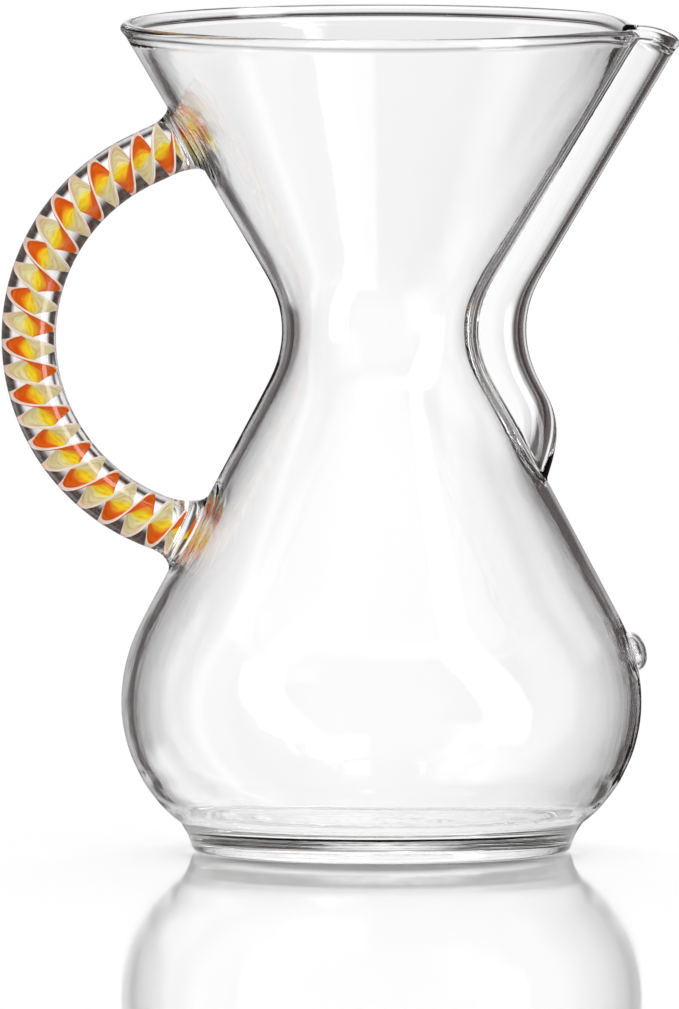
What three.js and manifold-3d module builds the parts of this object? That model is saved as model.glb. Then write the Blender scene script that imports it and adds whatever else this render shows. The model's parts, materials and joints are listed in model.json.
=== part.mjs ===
// Pour-over coffee maker: a blown glass hourglass with a pouring channel pressed out of one side
// and a bent glass rod, holding a twisted coloured ribbon, melted on to the other.
// Millimetres, +Z up. The origin is the centre of the base. The handle is on -X, the channel on +X.
import * as THREE from 'three';
import { mergeVertices } from 'three/addons/utils/BufferGeometryUtils.js';
import Module from 'manifold-3d';

const wasm = await Module();
wasm.setup();

// Outer surface of the blown body
const rimRadius = 73.4;
const rimHeight = 231.9;
const neckRadius = 27.9;
const neckHeight = 146.6;
const neckBlendRadius = 29;
const bulbRadius = 73.1;
const bulbHeight = 41.8;
const shoulderArcRadius = 48.9;
const lowerArcRadius = 43;
const footHeight = 8.4;
const footRadius = 53.6;
const footChamfer = 1.2;

// Wall of the blown body
const rimWall = 2.9;
const neckWall = 3.9;
const bulbWall = 3;
const baseThickness = 5.6;
const rimBeadRadius = 1.7;

// Pouring channel, pressed out of the funnel and the neck
const channelDepth = 12.7;
const channelHalfWidthAtRim = 11.5;
const channelHalfWidthAtFoot = 8;
const channelWall = 3;
const channelHeelHeight = 128;
const channelFootHeight = 104.5;
const channelRunout = 1.2;
const spoutDrop = 4.3;

// Level button on the bulb
const buttonHeight = 56.2;
const buttonRadius = 5;
const buttonRise = 2.8;

// Ribbon inside the handle: strips side by side, twisted together
const ribbonThickness = 1;
const edgeThreadWidth = 0.7;
const orangeWidth = 2.6;
const yellowWidth = 1.5;
const creamWidth = 2.5;
const stripGap = 0.4;
const ribbonPitch = 12.5;

// Clear handle rod round the ribbon
const ribbonClearance = 0.3;
const rodSkin = 2.55;
const handleArcRadius = 55.4;
const handleArcCentreX = -43.7;
const handleArcCentreHeight = 144.5;
const upperEndSlope = THREE.MathUtils.degToRad(25);
const lowerEndSlope = THREE.MathUtils.degToRad(20);

// Melted joints between the handle and the body
const upperWeldLength = 4.5;
const upperWeldRadius = 9.4;
const lowerWeldLength = 5;
const lowerWeldRadius = 10.6;
const meltedGap = 0.3;

// Fineness of the faceted surfaces
const bodySegments = 40;
const arcDivisions = 3;
const heelSteps = 6;
const channelSteps = 12;
const noseSteps = 8;
const rimSteps = 48;
const beadSides = 8;
const rodSides = 16;
const rodSteps = 40;
const stepsPerTurn = 10;
const weldSteps = 5;
const buttonSteps = 8;

const up = new THREE.Vector3(0, 0, 1);
const across = new THREE.Vector3(0, 1, 0);

// Closed geometry through rings of points that run anticlockwise as seen from the far end
function loft(rings, closed = false) {
  const sides = rings[0].length;
  const index = [];
  const spans = closed ? rings.length : rings.length - 1;
  for (let i = 0; i < spans; i++) {
    const near = i * sides;
    const far = ((i + 1) % rings.length) * sides;
    for (let j = 0; j < sides; j++) {
      const next = (j + 1) % sides;
      index.push(near + j, near + next, far + next);
      index.push(near + j, far + next, far + j);
    }
  }
  if (!closed) {
    const last = (rings.length - 1) * sides;
    for (let j = 1; j < sides - 1; j++) {
      index.push(0, j + 1, j);
      index.push(last, last + j, last + j + 1);
    }
  }
  const geometry = new THREE.BufferGeometry();
  geometry.setFromPoints(rings.flat());
  geometry.setIndex(index);
  return geometry;
}

// Solid for joining and cutting, made from a closed geometry
function toSolid(source) {
  const bare = source.clone();
  bare.deleteAttribute('normal');
  bare.deleteAttribute('uv');
  const merged = mergeVertices(bare);
  const corners = merged.index.array;
  const triangles = [];
  for (let i = 0; i < corners.length; i += 3) {
    const [a, b, c] = corners.slice(i, i + 3);
    if (a !== b && b !== c && c !== a) triangles.push(a, b, c);
  }
  const vertProperties = new Float32Array(merged.attributes.position.array);
  const triVerts = new Uint32Array(triangles);
  return new wasm.Manifold(new wasm.Mesh({ numProp: 3, vertProperties, triVerts }));
}

// Geometry of a joined or cut solid
function toGeometry(solid) {
  const mesh = solid.getMesh();
  const geometry = new THREE.BufferGeometry();
  geometry.setAttribute('position', new THREE.BufferAttribute(mesh.vertProperties, 3));
  geometry.setIndex(new THREE.BufferAttribute(mesh.triVerts, 1));
  return geometry;
}

// Solid of revolution about Z from an outline of radius and height
function turned(outline) {
  const points = outline.getPoints(arcDivisions);
  return toSolid(new THREE.LatheGeometry(points, bodySegments).rotateX(Math.PI / 2));
}

// Slopes from the vertical of the straight funnel and shoulder walls, inset from the outer surface
function wallSlopes(inset) {
  const blend = neckBlendRadius + inset.neck;
  const shoulderArc = shoulderArcRadius - inset.bulb;
  const neckCentre = new THREE.Vector2(neckRadius + neckBlendRadius, neckHeight);
  const bulbCentre = new THREE.Vector2(bulbRadius - shoulderArcRadius, bulbHeight);
  const toRim = new THREE.Vector2(rimRadius - inset.rim, rimHeight).sub(neckCentre);
  const toNeck = neckCentre.clone().sub(bulbCentre);
  const funnel = Math.acos(-blend / toRim.length()) - toRim.angle();
  const shoulder = toNeck.angle() - Math.acos((blend + shoulderArc) / toNeck.length());
  return { funnel, shoulder };
}

// Continues an outline from the bulb's lower arc, at a start height, past the rim and in to the axis
function addWall(outline, inset, startHeight, overrun) {
  const { funnel, shoulder } = wallSlopes(inset);
  const lowerArc = lowerArcRadius - inset.bulb;
  const shoulderArc = shoulderArcRadius - inset.bulb;
  const blend = neckBlendRadius + inset.neck;
  const startAngle = -Math.asin((bulbHeight - startHeight) / lowerArc);
  outline.absarc(bulbRadius - lowerArcRadius, bulbHeight, lowerArc, startAngle, 0);
  outline.absarc(bulbRadius - shoulderArcRadius, bulbHeight, shoulderArc, 0, shoulder);
  outline.absarc(neckRadius + neckBlendRadius, neckHeight, blend, Math.PI + shoulder, Math.PI - funnel, true);
  outline.lineTo(rimRadius - inset.rim + overrun * Math.tan(funnel), rimHeight + overrun);
  outline.lineTo(0, rimHeight + overrun);
  return outline;
}

// Outline of the body's outside, grown by a gap, with its funnel run on past the rim
function outerOutline(gap, overrun) {
  const outline = new THREE.Path().moveTo(0, -gap).lineTo(footRadius - footChamfer, -gap);
  outline.lineTo(footRadius + gap, footChamfer);
  return addWall(outline, { rim: -gap, neck: -gap, bulb: -gap }, footHeight, overrun);
}

// Outline of the space inside the body, open past the rim
function innerOutline() {
  const floorRadius = bulbRadius - lowerArcRadius;
  const outline = new THREE.Path().moveTo(0, baseThickness).lineTo(floorRadius, baseThickness);
  return addWall(outline, { rim: rimWall, neck: neckWall, bulb: bulbWall }, baseThickness, rimBeadRadius);
}

const noInset = { rim: 0, neck: 0, bulb: 0 };
const outerSlopes = wallSlopes(noInset);
const outerWall = outerOutline(0, 0).getPoints(arcDivisions).filter((point) => point.y > footHeight);

// Radius of the body's outside at a height above the foot
function outerRadiusAt(height) {
  const index = Math.max(outerWall.findIndex((point) => point.y >= height), 1);
  const below = outerWall[index - 1];
  const above = outerWall[index];
  return THREE.MathUtils.mapLinear(height, below.y, above.y, below.x, above.x);
}

// Distance from the axis to the channel's keel, which runs beside the wall and turns in at the heel
function keelAt(height) {
  const fall = (channelHeelHeight - height) / (channelHeelHeight - channelFootHeight);
  return outerRadiusAt(height) + channelDepth * Math.cos(Math.max(fall, 0) * Math.PI / 2);
}

// Point on the channel's round nose at a height and at an angle from its keel, inset into its wall
function nosePoint(height, angle, inset) {
  const halfWidth = THREE.MathUtils.mapLinear(
    height, channelFootHeight, rimHeight, channelHalfWidthAtFoot, channelHalfWidthAtRim,
  ) - inset;
  const keel = keelAt(height) - inset / Math.cos(outerSlopes.shoulder);
  const x = keel - halfWidth * (1 - Math.cos(angle));
  return new THREE.Vector3(x, halfWidth * Math.sin(angle), height);
}

// Angles round the channel's nose, from its -Y side to its +Y side
const noseAngles = Array.from({ length: noseSteps + 1 }, (_, i) => Math.PI * (i / noseSteps - 0.5));

// Solid of the channel from inside the neck out to its nose, inset into its wall
function channelSolid(inset) {
  const heights = [];
  for (let i = 0; i < heelSteps; i++) {
    heights.push(THREE.MathUtils.lerp(channelFootHeight - channelRunout, channelHeelHeight, i / heelSteps));
  }
  for (let i = 0; i <= channelSteps; i++) {
    heights.push(THREE.MathUtils.lerp(channelHeelHeight, rimHeight, i / channelSteps));
  }
  const root = neckRadius / 2;
  const rings = heights.map((height) => {
    const nose = noseAngles.map((angle) => nosePoint(height, angle, inset));
    const first = nose[0];
    const last = nose[noseSteps];
    return [...nose, last.clone().setX(root), first.clone().setX(root)];
  });
  return toSolid(loft(rings));
}

// Middle line of the wall's edge: round the rim, then down along the spout's lip and back
function rimLine() {
  const middle = rimRadius - rimWall / 2;
  const lip = noseAngles.map((angle) => {
    const height = rimHeight - spoutDrop * Math.cos(angle);
    return nosePoint(height, angle, channelWall / 2);
  });
  const start = Math.asin(lip[noseSteps].y / middle);
  const line = [];
  for (let i = 0; i <= rimSteps; i++) {
    const angle = THREE.MathUtils.lerp(start, 2 * Math.PI - start, i / rimSteps);
    line.push(new THREE.Vector3(middle * Math.cos(angle), middle * Math.sin(angle), rimHeight));
  }
  return [...line, ...lip];
}

// Ring of a round bar about a point, square to a direction, with its first axis given
function roundRing(centre, firstAxis, direction, radius, sides) {
  const secondAxis = direction.clone().cross(firstAxis).normalize();
  return Array.from({ length: sides }, (_, i) => {
    const angle = 2 * Math.PI * i / sides;
    const point = centre.clone().addScaledVector(firstAxis, radius * Math.cos(angle));
    return point.addScaledVector(secondAxis, radius * Math.sin(angle));
  });
}

// Fire-polished bead on the edge of the wall
function rimBead() {
  const line = rimLine();
  const rings = line.map((point, i) => {
    const before = line[(i + line.length - 1) % line.length];
    const after = line[(i + 1) % line.length];
    const direction = after.clone().sub(before).setZ(0).normalize();
    return roundRing(point, up, direction, rimBeadRadius, beadSides);
  });
  return toSolid(loft(rings, true));
}

// Wedge of space above the sloping lip of the spout
function aboveLip() {
  const start = nosePoint(rimHeight, Math.PI / 2, 0).x;
  const tip = nosePoint(rimHeight - spoutDrop, 0, 0).x;
  const end = tip + channelDepth;
  const dropAtEnd = spoutDrop * (end - start) / (tip - start);
  const side = (y) => [
    new THREE.Vector3(start, y, rimHeight),
    new THREE.Vector3(end, y, rimHeight + spoutDrop),
    new THREE.Vector3(end, y, rimHeight - dropAtEnd),
  ];
  return toSolid(loft([side(-2 * channelHalfWidthAtRim), side(2 * channelHalfWidthAtRim)]));
}

// Blown body: hourglass and channel, hollowed, with the lip cut and the rim beaded
function vesselBody() {
  const outside = turned(outerOutline(0, 0)).add(channelSolid(0));
  const inside = turned(innerOutline()).add(channelSolid(channelWall));
  return toGeometry(outside.subtract(inside).subtract(aboveLip()).add(rimBead()));
}

// Space that the body's outside takes up, with the gap that a melted-on piece keeps to it
const bodySpace = turned(outerOutline(meltedGap, 2 * upperWeldRadius));

// Button: half of a flattened ball on the bulb's wall
function levelButton() {
  const tilt = Math.asin((buttonHeight - bulbHeight) / shoulderArcRadius);
  const ball = new THREE.SphereGeometry(1, 2 * buttonSteps, buttonSteps);
  ball.rotateZ(-Math.PI / 2).scale(buttonRise, buttonRadius, buttonRadius);
  ball.rotateY(-tilt).translate(outerRadiusAt(buttonHeight), 0, buttonHeight);
  return toGeometry(toSolid(ball).subtract(bodySpace));
}

// Strips of the ribbon in order across it
const strips = [
  { name: 'ribbon_edge_orange_side', width: edgeThreadWidth, color: 0xf6ded2 },
  { name: 'ribbon_orange', width: orangeWidth, color: 0xe8590c },
  { name: 'ribbon_yellow', width: yellowWidth, color: 0xf2c40f },
  { name: 'ribbon_cream', width: creamWidth, color: 0xd9dcae },
  { name: 'ribbon_edge_cream_side', width: edgeThreadWidth, color: 0xf6efe4 },
];
const ribbonWidth = strips.reduce((sum, strip) => sum + strip.width, 0) + (strips.length - 1) * stripGap;
const rodRadius = ribbonWidth / 2 + ribbonClearance + rodSkin;
let place = -ribbonWidth / 2;
for (const strip of strips) {
  strip.from = place;
  strip.to = place + strip.width;
  place = strip.to + stripGap;
}

// Middle line of the handle: an arc in the XZ plane with a straight lead to the wall at each end
const arcCentre = new THREE.Vector3(handleArcCentreX, 0, handleArcCentreHeight);
const arcStart = Math.PI / 2 + upperEndSlope;
const arcEnd = 1.5 * Math.PI - lowerEndSlope;

function arcPoint(angle) {
  const spoke = new THREE.Vector3(Math.cos(angle), 0, Math.sin(angle));
  return spoke.multiplyScalar(handleArcRadius).add(arcCentre);
}

// Distance along a lead from the arc to a straight wall through a point of the outline on the -X side
function leadLength(from, direction, wallRadius, wallHeight, flare) {
  const wallX = -wallRadius - (from.z - wallHeight) * flare;
  return (wallX - from.x) / (direction.x + direction.z * flare);
}

const upperLead = new THREE.Vector3(Math.cos(upperEndSlope), 0, Math.sin(upperEndSlope));
const lowerLead = new THREE.Vector3(Math.cos(lowerEndSlope), 0, -Math.sin(lowerEndSlope));
const shoulderRadius = bulbRadius - shoulderArcRadius * (1 - Math.cos(outerSlopes.shoulder));
const shoulderHeight = bulbHeight + shoulderArcRadius * Math.sin(outerSlopes.shoulder);
const upperReach = leadLength(
  arcPoint(arcStart), upperLead, rimRadius, rimHeight, Math.tan(outerSlopes.funnel),
);
const lowerReach = leadLength(
  arcPoint(arcEnd), lowerLead, shoulderRadius, shoulderHeight, -Math.tan(outerSlopes.shoulder),
);
const upperStraight = upperReach - upperWeldLength;
const lowerStraight = lowerReach - lowerWeldLength;
const arcLength = handleArcRadius * (arcEnd - arcStart);
const rodLength = upperStraight + arcLength + lowerStraight;

// Place and direction on the middle line at a distance from the rod's upper end
function handleAt(distance) {
  const along = distance - upperStraight;
  if (along < 0) {
    const point = arcPoint(arcStart).addScaledVector(upperLead, -along);
    return { point, direction: upperLead.clone().negate() };
  }
  if (along > arcLength) {
    const point = arcPoint(arcEnd).addScaledVector(lowerLead, along - arcLength);
    return { point, direction: lowerLead.clone() };
  }
  const angle = arcStart + along / handleArcRadius;
  const direction = new THREE.Vector3(-Math.sin(angle), 0, Math.cos(angle));
  return { point: arcPoint(angle), direction };
}

// Twisted bar of rectangular section along the middle line, with its outline's places across the ribbon
function twistedBar(places, thickness, overrun) {
  const half = thickness / 2;
  const front = places.map((width) => [width, -half]);
  const back = places.map((width) => [width, half]).reverse();
  const steps = Math.round(rodLength / ribbonPitch * stepsPerTurn);
  const distances = Array.from({ length: steps + 1 }, (_, i) => rodLength * i / steps);
  if (overrun > 0) {
    distances.unshift(-overrun);
    distances.push(rodLength + overrun);
  }
  const rings = distances.map((distance) => {
    const { point, direction } = handleAt(distance);
    const twist = -2 * Math.PI * distance / ribbonPitch;
    const inPlane = across.clone().cross(direction);
    const widthAxis = inPlane.multiplyScalar(Math.cos(twist)).addScaledVector(across, Math.sin(twist));
    const faceAxis = direction.clone().cross(widthAxis);
    return [...front, ...back].map(([width, face]) => (
      point.clone().addScaledVector(widthAxis, width).addScaledVector(faceAxis, face)
    ));
  });
  return loft(rings);
}

// Clear rod, with the twisted slot that holds the ribbon
function handleRod() {
  const rings = [];
  for (let i = 0; i <= rodSteps; i++) {
    const { point, direction } = handleAt(rodLength * i / rodSteps);
    rings.push(roundRing(point, across, direction, rodRadius, rodSides));
  }
  const halfSlot = ribbonWidth / 2 + ribbonClearance;
  const joints = strips.slice(1).map((strip) => strip.from - stripGap / 2);
  const slot = twistedBar([-halfSlot, ...joints, halfSlot], ribbonThickness + 2 * ribbonClearance, rodSkin);
  return toGeometry(toSolid(loft(rings)).subtract(toSolid(slot)));
}

// Flared gob from a rod's end to the wall, cut to the wall
function weld(rodEnd, lead, length, radius) {
  const rings = [];
  for (let i = 0; i <= weldSteps; i++) {
    const part = i / weldSteps;
    const flare = 1 - Math.sqrt(1 - part * part);
    const ringRadius = THREE.MathUtils.lerp(rodRadius, radius, flare);
    const centre = rodEnd.clone().addScaledVector(lead, THREE.MathUtils.lerp(meltedGap, length, part));
    rings.push(roundRing(centre, across, lead, ringRadius, rodSides));
  }
  const buried = rodEnd.clone().addScaledVector(lead, length + radius);
  rings.push(roundRing(buried, across, lead, radius, rodSides));
  return toGeometry(toSolid(loft(rings)).subtract(bodySpace));
}

const clearGlass = { color: 0xe9eeec, roughness: 0.04, metalness: 0, transparent: true, opacity: 0.35 };

const group = new THREE.Group();

function addPiece(name, geometry, look) {
  geometry.computeVertexNormals();
  const mesh = new THREE.Mesh(geometry, new THREE.MeshStandardMaterial(look));
  mesh.name = name;
  group.add(mesh);
}

addPiece('vessel_body', vesselBody(), clearGlass);
addPiece('level_button', levelButton(), clearGlass);
addPiece('handle_rod', handleRod(), clearGlass);

const upperEnd = handleAt(0).point;
const lowerEnd = handleAt(rodLength).point;
addPiece('upper_weld', weld(upperEnd, upperLead, upperWeldLength, upperWeldRadius), clearGlass);
addPiece('lower_weld', weld(lowerEnd, lowerLead, lowerWeldLength, lowerWeldRadius), clearGlass);

for (const { name, from, to, color } of strips) {
  addPiece(name, twistedBar([from, to], ribbonThickness, 0), { color, roughness: 0.25, metalness: 0 });
}

export default group;
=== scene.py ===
"""Looks of a pour-over coffee maker: a blown glass hourglass with a pressed pouring channel, and a clear
glass rod handle with a twisted colour ribbon in it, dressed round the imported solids. Sizes are in millimetres
in the classes and in metres in the meshes. The origin is the centre of the base, the handle is on -X and the
channel on +X."""

import json
import logging
import math
from dataclasses import dataclass, field
from enum import Enum
from functools import reduce
from typing import Any, Iterable, Sequence

import bpy
import numpy as np
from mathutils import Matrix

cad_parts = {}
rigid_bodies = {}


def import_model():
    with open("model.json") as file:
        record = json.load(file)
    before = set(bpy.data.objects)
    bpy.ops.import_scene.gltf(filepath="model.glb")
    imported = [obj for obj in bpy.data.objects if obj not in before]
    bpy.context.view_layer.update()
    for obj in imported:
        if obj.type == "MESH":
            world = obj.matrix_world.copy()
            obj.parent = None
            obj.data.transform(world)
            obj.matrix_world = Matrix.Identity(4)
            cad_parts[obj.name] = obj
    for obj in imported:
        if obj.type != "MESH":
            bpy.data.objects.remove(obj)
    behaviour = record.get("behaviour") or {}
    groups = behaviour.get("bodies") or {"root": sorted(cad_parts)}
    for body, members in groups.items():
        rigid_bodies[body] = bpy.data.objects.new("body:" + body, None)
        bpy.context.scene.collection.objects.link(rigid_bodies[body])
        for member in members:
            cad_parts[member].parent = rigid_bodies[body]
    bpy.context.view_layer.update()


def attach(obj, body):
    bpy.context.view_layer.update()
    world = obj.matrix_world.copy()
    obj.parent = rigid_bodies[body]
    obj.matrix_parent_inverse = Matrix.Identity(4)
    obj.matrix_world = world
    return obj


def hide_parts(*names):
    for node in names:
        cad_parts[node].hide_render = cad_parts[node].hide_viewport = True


MM = 0.001
Points = np.ndarray
Vector = tuple[float, float, float]
Colour = tuple[float, float, float]
Pair = tuple[float, float]
Span = tuple[float, float]
Stops = tuple[tuple[float, Colour], ...]
log = logging.getLogger("coffee_maker")


class Part(Enum):
    """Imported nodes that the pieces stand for."""

    BODY = "vessel_body"
    BUTTON = "level_button"
    ROD = "handle_rod"
    UPPER_WELD = "upper_weld"
    LOWER_WELD = "lower_weld"
    ORANGE_EDGE = "ribbon_edge_orange_side"
    ORANGE = "ribbon_orange"
    YELLOW = "ribbon_yellow"
    CREAM = "ribbon_cream"
    CREAM_EDGE = "ribbon_edge_cream_side"


# Shader graphs


class Value:
    """Socket of a shader graph that takes part in Python arithmetic."""

    def __init__(self, graph: "Graph", socket: bpy.types.NodeSocket) -> None:
        """Keep the socket and the graph that it is in."""
        self.graph = graph
        self.socket = socket

    def maths(self, operation: str, *others: Any) -> "Value":
        """Add a Math node.

        Args:
            operation: Name of the node's operation.
            others: Values or numbers after this one.

        Returns:
            The node's result.
        """
        sockets = dict(enumerate([self, *others]))
        return self.graph.node("ShaderNodeMath", {"operation": operation}, sockets).out("Value")

    def __add__(self, other: Any) -> "Value":
        """Sum."""
        return self.maths("ADD", other)

    def __radd__(self, other: Any) -> "Value":
        """Sum with a number first."""
        return self.maths("ADD", other)

    def __mul__(self, other: Any) -> "Value":
        """Product."""
        return self.maths("MULTIPLY", other)

    def __rmul__(self, other: Any) -> "Value":
        """Product with a number first."""
        return self.maths("MULTIPLY", other)

    def __sub__(self, other: Any) -> "Value":
        """Difference."""
        return self.maths("SUBTRACT", other)

    def __rsub__(self, other: float) -> "Value":
        """Difference from a number."""
        return self.graph.number(other).maths("SUBTRACT", self)

    def __truediv__(self, other: Any) -> "Value":
        """Quotient."""
        return self.maths("DIVIDE", other)

    def __neg__(self) -> "Value":
        """Opposite."""
        return self.maths("MULTIPLY", -1.0)

    def larger(self, other: Any) -> "Value":
        """Larger of two values."""
        return self.maths("MAXIMUM", other)

    def smaller(self, other: Any) -> "Value":
        """Smaller of two values."""
        return self.maths("MINIMUM", other)

    def ramp(self, low: float, high: float) -> "Value":
        """Smooth rise from 0 at one value to 1 at another.

        Args:
            low: Where the rise starts.
            high: Where it ends.

        Returns:
            The eased value.
        """
        settings = {"interpolation_type": "SMOOTHSTEP"}
        sockets = {"Value": self, "From Min": low, "From Max": high}
        return self.graph.node("ShaderNodeMapRange", settings, sockets).out("Result")


class Step:
    """Node of a shader graph, with its outputs by name."""

    def __init__(self, graph: "Graph", node: bpy.types.Node) -> None:
        """Keep the node and its graph."""
        self.graph = graph
        self.node = node

    def out(self, name: str) -> Value:
        """Output socket of that name, the one in use where several share it."""
        found = [s for s in self.node.outputs if s.name == name and s.enabled]
        return Value(self.graph, found[0])


class Graph:
    """Shader graph of a material or a world."""

    def __init__(self, owner: Any) -> None:
        """Start an empty graph on a material or world."""
        owner.use_nodes = True
        self.tree = owner.node_tree
        self.tree.nodes.clear()

    def node(self, kind: str, settings: dict[str, Any] | None = None,
             sockets: dict[Any, Any] | None = None) -> Step:
        """Add a node.

        Args:
            kind: The node's type.
            settings: Properties to set first; "stops" are a colour ramp's places and colours.
            sockets: Values or links by the input's name or number.

        Returns:
            The node.
        """
        node = self.tree.nodes.new(kind)
        for name, value in (settings or {}).items():
            if name == "stops":
                self._set_stops(node.color_ramp, value)
            else:
                setattr(node, name, value)
        for name, value in (sockets or {}).items():
            self._feed(node, name, value)
        return Step(self, node)

    def _set_stops(self, ramp: Any, stops: Stops) -> None:
        """Give a colour ramp its stops.

        Args:
            ramp: The ramp.
            stops: Place and colour of each stop.
        """
        while len(ramp.elements) < len(stops):
            ramp.elements.new(1.0)
        for element, (place, colour) in zip(ramp.elements, stops):
            element.position = place
            element.color = (*colour[:3], 1.0)

    def _feed(self, node: bpy.types.Node, name: Any, value: Any) -> None:
        """Link or set one input.

        Args:
            node: The node.
            name: The input's name or number.
            value: A socket value, a number or a colour.
        """
        if isinstance(name, int):
            socket = node.inputs[name]
        else:
            socket = [s for s in node.inputs if s.name == name and s.enabled][0]
        if isinstance(value, Value):
            self.tree.links.new(value.socket, socket)
        elif socket.type == "RGBA":
            socket.default_value = (*value[:3], 1.0)
        else:
            socket.default_value = value

    def number(self, value: float) -> Value:
        """Fixed number as a socket.

        Args:
            value: The number.

        Returns:
            The socket's value.
        """
        step = self.node("ShaderNodeValue")
        step.node.outputs[0].default_value = value
        return step.out("Value")

    def blend(self, factor: Any, first: Any, second: Any, mode: str = "MIX") -> Value:
        """Mix two colours.

        Args:
            factor: Share of the second colour.
            first: First colour.
            second: Second colour.
            mode: The Mix node's way of blending.

        Returns:
            The mixed colour.
        """
        settings = {"data_type": "RGBA", "blend_type": mode}
        sockets = {"Factor": factor, "A": first, "B": second}
        return self.node("ShaderNodeMix", settings, sockets).out("Result")

    def place(self, kind: str) -> Value:
        """Coordinates of a kind: Object in metres, UV, or Generated for a world's direction."""
        return self.node("ShaderNodeTexCoord").out(kind)

    def axes(self, vector: Value) -> tuple[Value, Value, Value]:
        """X, Y and Z of a vector."""
        parts = self.node("ShaderNodeSeparateXYZ", None, {"Vector": vector})
        return parts.out("X"), parts.out("Y"), parts.out("Z")

    def principled(self, sockets: dict[Any, Any]) -> Value:
        """Principled surface with these inputs."""
        return self.node("ShaderNodeBsdfPrincipled", None, sockets).out("BSDF")

    def noise(self, place: Value, scale: float, detail: float = 2.0,
              stretch: Sequence[float] = (1.0, 1.0, 1.0)) -> Value:
        """Noise between 0 and 1.

        Args:
            place: Coordinates that it follows.
            scale: Cells per unit.
            detail: Octaves.
            stretch: Factor on each axis.

        Returns:
            The noise value.
        """
        mapped = self.node("ShaderNodeMapping", None, {"Vector": place, "Scale": tuple(stretch)})
        sockets = {"Vector": mapped.out("Vector"), "Scale": scale, "Detail": detail}
        return self.node("ShaderNodeTexNoise", None, sockets).out("Fac")

    def finish(self, shader: Value, target: str = "ShaderNodeOutputMaterial",
               volume: Value | None = None) -> None:
        """Link the last shader to the output.

        Args:
            shader: Surface or background shader.
            target: The output node's type.
            volume: Volume shader, where there is one.
        """
        sockets = {"Surface": shader}
        if volume is not None:
            sockets["Volume"] = volume
        self.node(target, None, sockets)


# Finishes

WHITE = (1.0, 1.0, 1.0)
BLACK = (0.0, 0.0, 0.0)


@dataclass(frozen=True)
class ClearGlass:
    """Fire-polished clear glass, faintly wavy, with a trace of olive in thick places."""

    name: str
    ior: float = 1.47
    tint: Colour = (0.82, 0.83, 0.78)
    density: float = 5.0
    wave_size: float = 60.0
    wave_height: float = 0.00004
    wave_stretch: Vector = (1.0, 1.0, 2.2)
    streaks: float = 0.0
    streak_size: float = 170.0
    streak_stretch: Vector = (1.0, 1.0, 0.04)
    channel_side: Span = (0.009, 0.014)
    channel_front: Span = (0.02, 0.03)
    cloud_size: float = 25.0
    cloud: Colour = (0.985, 0.988, 0.985)

    def material(self) -> bpy.types.Material:
        """Build the material. The drawn streaks stay off the channel.

        Returns:
            The material.
        """
        made = bpy.data.materials.new(self.name)
        graph = Graph(made)
        place = graph.place("Object")
        x, y, _ = graph.axes(place)
        waves = graph.noise(place, self.wave_size, 1.0, self.wave_stretch)
        drawn = graph.noise(place, self.streak_size, 2.0, self.streak_stretch)
        beside = y.maths("ABSOLUTE").ramp(*self.channel_side).larger(1.0 - x.ramp(*self.channel_front))
        height = waves + drawn * beside * self.streaks
        sockets = {"Strength": 1.0, "Distance": self.wave_height, "Height": height}
        bump = graph.node("ShaderNodeBump", None, sockets)
        cloud = graph.noise(place, self.cloud_size, 2.0)
        surface = graph.principled({
            "Base Color": graph.blend(cloud, WHITE, self.cloud), "Roughness": 0.0, "IOR": self.ior,
            "Transmission Weight": 1.0, "Normal": bump.out("Normal"),
        })
        inside = graph.node("ShaderNodeVolumeAbsorption", None, {"Color": self.tint, "Density": self.density})
        graph.finish(surface, volume=inside.out("Volume"))
        return made


@dataclass(frozen=True)
class Enamel:
    """Opaque coloured glass drawn into a strip, its colours running into each other across the ribbon."""

    name: str
    stops: Stops
    streak: float = 0.12
    wander: float = 0.16
    wander_cells: Vector = (2.4, 3.0, 1.0)
    streak_cells: Vector = (1.6, 26.0, 1.0)
    mottle_cells: Vector = (5.0, 14.0, 1.0)
    mottle_edge: Span = (0.42, 0.66)
    streak_share: float = 1.6
    mottle_share: float = 0.9
    warm_share: float = 1.4
    octaves: float = 3.0
    mottle_octaves: float = 4.0
    roughness: float = 0.45
    rough_spread: float = 0.2

    def material(self) -> bpy.types.Material:
        """Build the material. The UV map holds the length in turns and the place across the ribbon.

        Returns:
            The material.
        """
        made = bpy.data.materials.new(self.name)
        graph = Graph(made)
        uv = graph.place("UV")
        _, across, _ = graph.axes(uv)
        wander = graph.noise(uv, 1.0, self.octaves, self.wander_cells) - 0.5
        place = across + wander * self.wander
        colour = graph.node("ShaderNodeValToRGB", {"stops": self.stops}, {"Fac": place}).out("Color")
        streaks = graph.noise(uv, 1.0, self.octaves, self.streak_cells)
        mottle = graph.noise(uv, 1.0, self.mottle_octaves, self.mottle_cells).ramp(*self.mottle_edge)
        level = 1.0 - self.streak + streaks * (self.streak_share * self.streak)
        level = level - mottle * (self.mottle_share * self.streak)
        warm = level - mottle * (self.warm_share * self.streak)
        grey = graph.node("ShaderNodeCombineColor", None, {"Red": level, "Green": warm, "Blue": warm})
        graph.finish(graph.principled({
            "Base Color": graph.blend(1.0, colour, grey.out("Color"), "MULTIPLY"),
            "Roughness": self.roughness + streaks * self.rough_spread, "Specular IOR Level": 0.0,
        }))
        return made


# Bench: operators that make one piece at a time


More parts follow.
